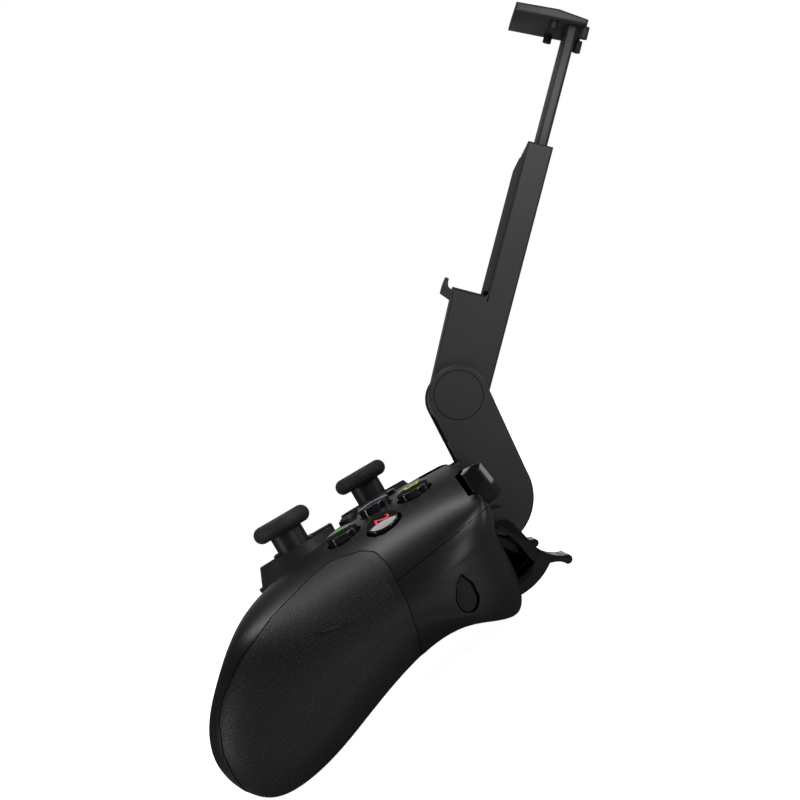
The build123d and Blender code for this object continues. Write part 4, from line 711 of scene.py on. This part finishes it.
# %% Blend the normals of the shells and panels
# the sink is in millimetres: it leaves room for the studs under the CAD surface
ON_SKIN = 0.88
PANEL_SINK = 0.1
all_corners, all_faces, skins = [], [], []
for piece in skin_pieces:
    corners, faces, normals, areas = triangles_of(piece.data)
    all_faces += [tuple(v + len(all_corners) for v in face) for face in faces.tolist()]
    all_corners += corners.tolist()
    skins.append([corners, faces, normals, areas])
around = BVHTree.FromPolygons(all_corners, all_faces, all_triangles=True)
for skin in skins:
    skin.append(open_to_air(skin[1], skin[0], skin[2], around))
spots, ways = even_samples(skins)
even_normals = []
for piece, (corners, faces, normals, areas, seen) in zip(skin_pieces, skins):
    own = corner_ways(corners, faces, normals, areas, seen)
    used = np.unique(faces[seen])
    own[used] /= np.maximum(np.linalg.norm(own[used], axis=1), TINY)[:, None]
    soft = np.zeros_like(corners)
    soft[used] = blended(corners[used], own[used], spots, ways)
    even_normals.append(soft)
    mesh = piece.data
    loops = np.empty(len(mesh.loops) * 3, np.float32)
    mesh.corner_normals.foreach_get("vector", loops)
    loops = loops.reshape(-1, 3)
    for corner in range(3):
        mine = soft[faces[:, corner]]
        good = seen & ((mine * normals).sum(axis=1) > ON_SKIN)
        rows = np.flatnonzero(good) * 3 + corner
        loops[rows] = mine[good]
    if "panel" in piece.name:
        corners[used] -= soft[used] * PANEL_SINK * MM
        mesh.vertices.foreach_set("co", corners.ravel())
        mesh.update()
    mesh.normals_split_custom_set([tuple(row) for row in loops.tolist()])
    print(piece.name, "faces", len(faces), "on the skin", int(seen.sum()))

# %% [markdown]
# ## Dark lines and rings
# A joint between two mouldings shows as a thin black line. A slim dark tube lies sunk round each grip panel
# and round each elbow cap.

# %% Helpers for the dark lines
LINE_RADIUS = 0.17
LINE_SUNK = 0.08
LINE_INSIDE = 0.15
LINE_STEP = 0.7
LINE_SIDES = 8


def outline_of(faces, seen):
    """Corners round the outer face of a panel, in order: the longest open border of its skin."""
    ways_round = {(a, b) for face in faces[seen].tolist() for a, b in zip(face, face[1:] + face[:1])}
    following = {a: b for a, b in ways_round if (b, a) not in ways_round}
    longest = []
    while following:
        start, after = following.popitem()
        loop = [start]
        while after != start and after in following:
            loop.append(after)
            after = following.pop(after)
        if len(loop) > len(longest):
            longest = loop
    return longest


def even_walk(points, step):
    """Places at even steps along a closed line, as the index before each and the share past it."""
    places = []
    walked, due = 0.0, 0.0
    for index, here in enumerate(points):
        gap = np.linalg.norm(points[(index + 1) % len(points)] - here)
        while due < walked + gap:
            places.append((index, (due - walked) / gap))
            due += step
        walked += gap
    return places


def line_mesh(name, points, ways, radius):
    """A thin closed tube along points."""
    verts, faces = [], []
    count = len(points)
    for index in range(count):
        along = points[(index + 1) % count] - points[index - 1]
        across = np.cross(along, ways[index])
        across /= np.linalg.norm(across)
        for step in range(LINE_SIDES):
            angle = math.tau * step / LINE_SIDES
            verts.append(points[index] + radius * (math.cos(angle) * ways[index] + math.sin(angle) * across))
    for index in range(count):
        here, there = index * LINE_SIDES, (index + 1) % count * LINE_SIDES
        for step in range(LINE_SIDES):
            after = (step + 1) % LINE_SIDES
            faces.append((here + step, here + after, there + after, there + step))
    mesh = bpy.data.meshes.new(name)
    mesh.from_pydata([tuple(v) for v in verts], [], faces)
    return mesh


print("line helpers ready")

# %% Dark line round each grip panel
for piece, (corners, faces, normals, areas, seen) in zip(skin_pieces, skins):
    if "panel" not in piece.name:
        continue
    own = corner_ways(corners, faces, normals, areas, seen)
    loop = outline_of(faces, seen)
    rim, out = corners[loop], own[loop]
    out /= np.linalg.norm(out, axis=1)[:, None]
    points, ways = [], []
    for index, share in even_walk(rim, LINE_STEP * MM):
        after = (index + 1) % len(loop)
        way = out[index] * (1 - share) + out[after] * share
        way /= np.linalg.norm(way)
        inside = np.cross(way, rim[after] - rim[index])
        inside /= np.linalg.norm(inside)
        spot = rim[index] * (1 - share) + rim[after] * share
        points.append(spot + (inside * LINE_INSIDE - way * LINE_SUNK) * MM)
        ways.append(way)
    name = piece.name.replace("panel_skin", "line")
    mesh = line_mesh(name, points, ways, LINE_RADIUS * MM)
    mesh.materials.append(seam_black)
    finished(name, mesh, "controller", "grip_texture")
    print(name, "points", len(points))

# %% Dark ring round each elbow cap
ELBOW = (31.3, 3.7)
ELBOW_CAP_RADIUS = 7.01
ELBOW_FACE_X = 16.7
RING_STEPS = 96
RING_RADIUS = 0.1
for hand, sign in (("right", 1), ("left", -1)):
    points = []
    for step in range(RING_STEPS):
        angle = sign * math.tau * step / RING_STEPS
        points.append(np.array(on_face(sign * ELBOW_FACE_X, ELBOW[0] + ELBOW_CAP_RADIUS * math.cos(angle),
                                       ELBOW[1] + ELBOW_CAP_RADIUS * math.sin(angle))))
    ways = [np.array((sign, 0.0, 0.0))] * RING_STEPS
    mesh = line_mesh(hand + "_elbow_ring", points, ways, RING_RADIUS * MM)
    mesh.materials.append(seam_black)
    finished(hand + "_elbow_ring", mesh, "lower_arm", "arm_plastic")
print("rings round the elbow caps")

# %% Soften triggers, bumpers, jaw and rod
# CAD node, body, slot, width of the rounded edge in millimetres
SOFTENED = (
    ("right_trigger", "right_trigger", "gloss_black", 0.45),
    ("left_trigger", "left_trigger", "gloss_black", 0.45),
    ("right_bumper", "right_bumper", "gloss_black", 0.22),
    ("left_bumper", "left_bumper", "gloss_black", 0.22),
    ("clamp_jaw", "clamp", "arm_plastic", 0.2),
    ("clamp_rod", "clamp", "rod_plastic", 0.15),
)
for name, body, slot, width in SOFTENED:
    piece = soften(name, body, slot, width)
    print(piece.name, "faces", len(piece.data.polygons))

# %% [markdown]
# ## Face buttons
# Each face button is a short glossy rod with a slightly domed top. The dome is what bends the lamp's
# reflection into a crescent, so the tops are turned afresh with many steps instead of the CAD's flat ones.
# The real ones carry letters; plain numbers in the same four colours stand in for them.

# %% Turn the face buttons
# middle of the top on the face, lean in degrees, number, colour of the ink
BUTTONS = {
    "south": (44.6, -16.25, -11.7, 11.0, "1", (0.05, 0.62, 0.03)),
    "east": (55.75, -5.1, -14.4, 26.0, "2", (0.80, 0.005, 0.05)),
    "north": (44.6, 6.05, -11.0, 11.0, "3", (0.78, 0.72, 0.01)),
    "west": (33.45, -5.1, -9.6, 5.0, "4", (0.01, 0.09, 0.42)),
}
BUTTON_RADIUS = 4.65
BUTTON_FLOOR_Z = -20.6
DOME_RISE = 0.5
EDGE_ROUND = 0.45
FLANGE_RADIUS = 5.9
FLANGE_HEIGHT = 0.9
TURN_STEPS = 96
DOME_STEPS = 8
EDGE_FROM = 78
EDGE_STEPS = 5


def button_frame(x, y, z, lean):
    """The frame of a face button: its origin is the middle of its top."""
    return FACE_MM @ Matrix.Translation((x, y, z)) @ Matrix.Rotation(math.radians(lean), 4, "Y")


def dome_height(radius):
    """Height of the domed top at a distance from its middle."""
    return -DOME_RISE * (radius / BUTTON_RADIUS) ** 2


def button_profile(length):
    """Domed top, rounded edge, side and flange."""
    flat = BUTTON_RADIUS - EDGE_ROUND
    profile = [(flat * step / DOME_STEPS, dome_height(flat * step / DOME_STEPS))
               for step in range(DOME_STEPS + 1)]
    profile += arc_points((flat, dome_height(flat) - EDGE_ROUND), EDGE_ROUND, EDGE_FROM, 0, EDGE_STEPS)
    profile += [(BUTTON_RADIUS, -length + FLANGE_HEIGHT), (FLANGE_RADIUS, -length + FLANGE_HEIGHT),
                (FLANGE_RADIUS, -length), (0, -length)]
    return profile


for name, (x, y, z, lean, _, _) in BUTTONS.items():
    length = (z - BUTTON_FLOOR_Z) * math.cos(math.radians(lean))
    mesh = turned_mesh(name + "_cap", button_profile(length), button_frame(x, y, z, lean), TURN_STEPS)
    piece = finished(name + "_cap", mesh, name + "_button", "gloss_black")
    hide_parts(name + "_button")
print("face buttons", len(BUTTONS))

# %% Numbers on the face buttons
NUMBER_HEIGHT = 6.2
NUMBER_LIFT = 0.02
NUMBER_THICKNESS = 0.03
CURVE_STEPS = 6
JOIN = 0.001
LONG_EDGE = 0.8
EDGE_CUTS = 3
INK_COAT = 0.5
# INK_GLOW is a painted glow: emission that brightens the numbers, though they give off no light
INK_GLOW = 0.25
INK_DARKER = 0.82


def number_paint(name, colour):
    """Printed ink with a faint mottle, plus a painted glow: an emission in the ink's colour that lights the
    numbers.
    """
    dark = [INK_DARKER * value for value in colour]
    material, shader = moulded_paint(name, dark, colour, 0.25, 0.4, 6000.0, 0.05)
    shader.inputs["Coat Weight"].default_value = INK_COAT
    # painted glow: the ink emits light in its own mottled colour
    shader.inputs["Emission Strength"].default_value = INK_GLOW
    colour_out = shader.inputs["Base Color"].links[0].from_socket
    link(material.node_tree, colour_out, shader.inputs["Emission Color"])
    return material


def number_mesh(name, digit, place):
    """A digit as a thin mesh that follows the domed top."""
    curve = bpy.data.curves.new(name, "FONT")
    curve.body = digit
    curve.align_x = "CENTER"
    curve.align_y = "CENTER"
    curve.size = NUMBER_HEIGHT
    curve.extrude = NUMBER_THICKNESS / 2
    curve.resolution_u = CURVE_STEPS
    letter = bpy.data.objects.new(name, curve)
    mesh = bpy.data.meshes.new_from_object(letter)
    bpy.data.objects.remove(letter)
    work = bmesh.new()
    work.from_mesh(mesh)
    bmesh.ops.remove_doubles(work, verts=work.verts, dist=JOIN)
    long_edges = [edge for edge in work.edges if edge.calc_length() > LONG_EDGE]
    bmesh.ops.subdivide_edges(work, edges=long_edges, cuts=EDGE_CUTS)
    bmesh.ops.triangulate(work, faces=work.faces)
    for vert in work.verts:
        vert.co.z += dome_height(math.hypot(vert.co.x, vert.co.y)) + NUMBER_LIFT
    bmesh.ops.recalc_face_normals(work, faces=work.faces)
    bmesh.ops.transform(work, matrix=place, verts=work.verts)
    work.to_mesh(mesh)
    work.free()
    return mesh


for name, (x, y, z, lean, digit, colour) in BUTTONS.items():
    mesh = number_mesh(name + "_number", digit, button_frame(x, y, z, lean))
    mesh.materials.clear()
    mesh.materials.append(number_paint(name + "_ink", colour))
    finished(name + "_number", mesh, name + "_button", "gloss_black", smooth=False)
print("numbers on the buttons")

# %% [markdown]
# ## Fine studs
# The grips and the stick rims are moulded with rows of tiny studs, each row shifted by half a step. Rays are
# shot at the surface to find where each stud stands and which way it points, and one Geometry Nodes tree
# then sets a stud on every point. The tree ends in real faces.

# %% The stud tree
STUD_SIDES = 6


def stud_tree():
    """Geometry Nodes: a small cone on each point, turned to the point's own direction."""
    tree = bpy.data.node_groups.new("studs", "GeometryNodeTree")
    for label, kind in (("Geometry", "Geometry"), ("Radius", "Float"), ("Height", "Float"),
                        ("Material", "Material")):
        tree.interface.new_socket(label, in_out="INPUT", socket_type="NodeSocket" + kind)
    tree.interface.new_socket("Geometry", in_out="OUTPUT", socket_type="NodeSocketGeometry")
    given = tree.nodes.new("NodeGroupInput")
    result = tree.nodes.new("NodeGroupOutput")
    stud = tree.nodes.new("GeometryNodeMeshCone")
    stud.fill_type = "TRIANGLE_FAN"
    stud.inputs["Vertices"].default_value = STUD_SIDES
    stud.inputs["Radius Top"].default_value = 0.0
    way = tree.nodes.new("GeometryNodeInputNamedAttribute")
    way.data_type = "FLOAT_VECTOR"
    way.inputs["Name"].default_value = "way"
    turn = tree.nodes.new("FunctionNodeAlignRotationToVector")
    turn.axis = "Z"
    spread = tree.nodes.new("GeometryNodeInstanceOnPoints")
    real = tree.nodes.new("GeometryNodeRealizeInstances")
    smooth = tree.nodes.new("GeometryNodeSetShadeSmooth")
    paint = tree.nodes.new("GeometryNodeSetMaterial")
    link(tree, given.outputs["Radius"], stud.inputs["Radius Bottom"])
    link(tree, given.outputs["Height"], stud.inputs["Depth"])
    link(tree, given.outputs["Geometry"], spread.inputs["Points"])
    link(tree, stud.outputs["Mesh"], spread.inputs["Instance"])
    link(tree, way.outputs[0], turn.inputs["Vector"])
    link(tree, turn.outputs["Rotation"], spread.inputs["Rotation"])
    link(tree, spread.outputs["Instances"], real.inputs["Geometry"])
    link(tree, real.outputs["Geometry"], smooth.inputs["Geometry"])
    link(tree, smooth.outputs["Geometry"], paint.inputs["Geometry"])
    link(tree, given.outputs["Material"], paint.inputs["Material"])
    link(tree, paint.outputs["Geometry"], result.inputs["Geometry"])
    return tree


STUDS = stud_tree()


def socket_id(tree, label):
    """Identifier of a tree's named input."""
    for item in tree.interface.items_tree:
        if item.item_type == "SOCKET" and item.in_out == "INPUT" and item.name == label:
            return item.identifier
    raise KeyError(label)


def add_studs(name, points, ways, radius, height, body, paint):
    """Studs as one plain mesh: points and directions in the scene, sizes in millimetres."""
    seeds = bpy.data.meshes.new(name)
    seeds.from_pydata([tuple(point) for point in points], [], [])
    attribute = seeds.attributes.new("way", "FLOAT_VECTOR", "POINT")
    attribute.data.foreach_set("vector", [value for way in ways for value in way])
    piece = bpy.data.objects.new(name, seeds)
    bpy.context.collection.objects.link(piece)
    field = piece.modifiers.new("studs", "NODES")
    field.node_group = STUDS
    field[socket_id(STUDS, "Radius")] = radius * MM
    field[socket_id(STUDS, "Height")] = height * MM
    field[socket_id(STUDS, "Material")] = paint
    depsgraph = bpy.context.evaluated_depsgraph_get()
    made = bpy.data.meshes.new_from_object(piece.evaluated_get(depsgraph))
    piece.modifiers.clear()
    piece.data = made
    if "way" in made.attributes:
        made.attributes.remove(made.attributes["way"])
    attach(piece, body)
    return piece


print("stud tree", len(STUDS.nodes), "nodes")

# %% Studs on the grips
GRIP_ROW = 0.60
GRIP_PITCH = 0.70
GRIP_STUD_RADIUS = 0.27
GRIP_STUD_HEIGHT = 0.11
GRIP_SINK = 0.03
GRIP_AXIS_FROM = (47.0, -6.0, -32.0)
GRIP_AXIS_TO = (47.0, -76.0, -50.0)
GRIP_REAR_RIM = 2.4
GRIP_FRONT_RIM = 0.9
RAY_STEP = 0.75
RAY_SIDE = 120.0
RAY_OUT = 60.0
RAY_FACING = 0.15
PROBE_ABOVE = 2.0
PROBE_LENGTH = 4.5
PROBE_FACING = 0.3

right_panel = SKIN_NODES.index("right_grip_panel")
flat = FACE_MM.inverted()
unturned = TURN.to_3x3().inverted()
panel_corners = [flat @ Vector(corner) for corner in skins[right_panel][0].tolist()]
panel_faces = skins[right_panel][1][skins[right_panel][4]].tolist()
panel_ways = [unturned @ Vector(way) for way in even_normals[right_panel].tolist()]
finder = BVHTree.FromPolygons(panel_corners, panel_faces, all_triangles=True)


def even_way(where, index):
    """The blended normal at a place on one of the panel's triangles."""
    face = panel_faces[index]
    shares = poly_3d_calc([panel_corners[corner] for corner in face], where)
    way = sum((panel_ways[corner] * share for corner, share in zip(face, shares)), Vector())
    return way.normalized()


axis_from, axis_to = Vector(GRIP_AXIS_FROM), Vector(GRIP_AXIS_TO)
axis = (axis_to - axis_from).normalized()
side = Vector((1, 0, 0))
lift = axis.cross(side).normalized()


def far_from_edge(point, normal, along, rim_back, rim_side):
    """True where the panel goes on for the rim's width on every side of a point."""
    across = normal.cross(along).normalized()
    for way, rim in ((along, rim_side), (-along, rim_back), (across, rim_side), (-across, rim_side)):
        start = point + way * rim + normal * PROBE_ABOVE
        hit = finder.ray_cast(start, -normal, PROBE_LENGTH)
        if hit[0] is None or hit[1].dot(normal) < PROBE_FACING:
            return False
    return True


points, ways = [], []
row = 0
reach = (axis_to - axis_from).length
while row * GRIP_ROW < reach:
    base = axis_from + axis * row * GRIP_ROW
    strip, angles = [], []
    angle = -RAY_SIDE
    while angle < RAY_SIDE:
        turn_angle = math.radians(angle)
        out = side * math.cos(turn_angle) + lift * math.sin(turn_angle)
        where, normal, index, _ = finder.ray_cast(base + out * RAY_OUT, -out, RAY_OUT)
        if where is not None and normal.dot(out) > RAY_FACING:
            strip.append((where, even_way(where, index)))
            angles.append(abs(angle))
        angle += RAY_STEP
    gaps = [(there[0] - here[0]).length for here, there in zip(strip, strip[1:])]
    walked = -sum(gaps[:angles.index(min(angles))]) if angles else 0.0
    shift = GRIP_PITCH * (0.5 if row % 2 else 0.0)
    due = math.ceil((walked - shift) / GRIP_PITCH) * GRIP_PITCH + shift
    for (here, normal_here), (there, normal_there), gap in zip(strip, strip[1:], gaps):
        while walked + gap >= due:
            share = (due - walked) / gap
            spot = here.lerp(there, share)
            normal = normal_here.lerp(normal_there, share).normalized()
            if far_from_edge(spot, normal, axis, GRIP_REAR_RIM, GRIP_FRONT_RIM):
                points.append(spot - normal * GRIP_SINK)
                ways.append(normal)
            due += GRIP_PITCH
        walked += gap
    row += 1
turn_only = TURN.to_3x3()
for hand, sign in (("right", 1), ("left", -1)):
    place = [FACE_MM @ Vector((sign * p.x, p.y, p.z)) for p in points]
    face = [turn_only @ Vector((sign * n.x, n.y, n.z)) for n in ways]
    piece = add_studs(hand + "_grip_studs", place, face, GRIP_STUD_RADIUS, GRIP_STUD_HEIGHT,
                      "controller", stud_rubber)
    print(piece.name, "studs", len(points), "faces", len(piece.data.polygons))

# %% Studs on the stick rims
STICKS = {"right": (20.4, -30.4), "left": (-43.7, -5.1)}
CAP_Z = -2.6
CAP_RADIUS = 8.7
RIM_RADIUS = 2.4
RIM_PITCH = 0.62
RIM_STUD_RADIUS = 0.24
RIM_STUD_HEIGHT = 0.10
RIM_FROM = -78.0
RIM_TO = 84.0
RIM_SHARE = 0.3
for hand, (x, y) in STICKS.items():
    points, ways = [], []
    rings = round(math.radians(RIM_TO - RIM_FROM) * RIM_RADIUS / RIM_PITCH)
    count = round(math.tau * (CAP_RADIUS - RIM_RADIUS * RIM_SHARE) / RIM_PITCH)
    for ring in range(rings + 1):
        slope = math.radians(RIM_FROM + (RIM_TO - RIM_FROM) * ring / rings)
        radius = CAP_RADIUS - RIM_RADIUS + RIM_RADIUS * math.cos(slope)
        height = RIM_RADIUS * math.sin(slope)
        for step in range(count):
            angle = math.tau * (step + 0.5 * (ring % 2)) / count
            normal = Vector((math.cos(slope) * math.cos(angle), math.cos(slope) * math.sin(angle),
                             math.sin(slope)))
            spot = Vector((x + radius * math.cos(angle), y + radius * math.sin(angle), CAP_Z + height))
            points.append(FACE_MM @ (spot - normal * GRIP_SINK))
            ways.append(turn_only @ normal)
    piece = add_studs(hand + "_rim_studs", points, ways, RIM_STUD_RADIUS, RIM_STUD_HEIGHT,
                      hand + "_stick", rim_rubber)
    print(piece.name, "studs", len(points))
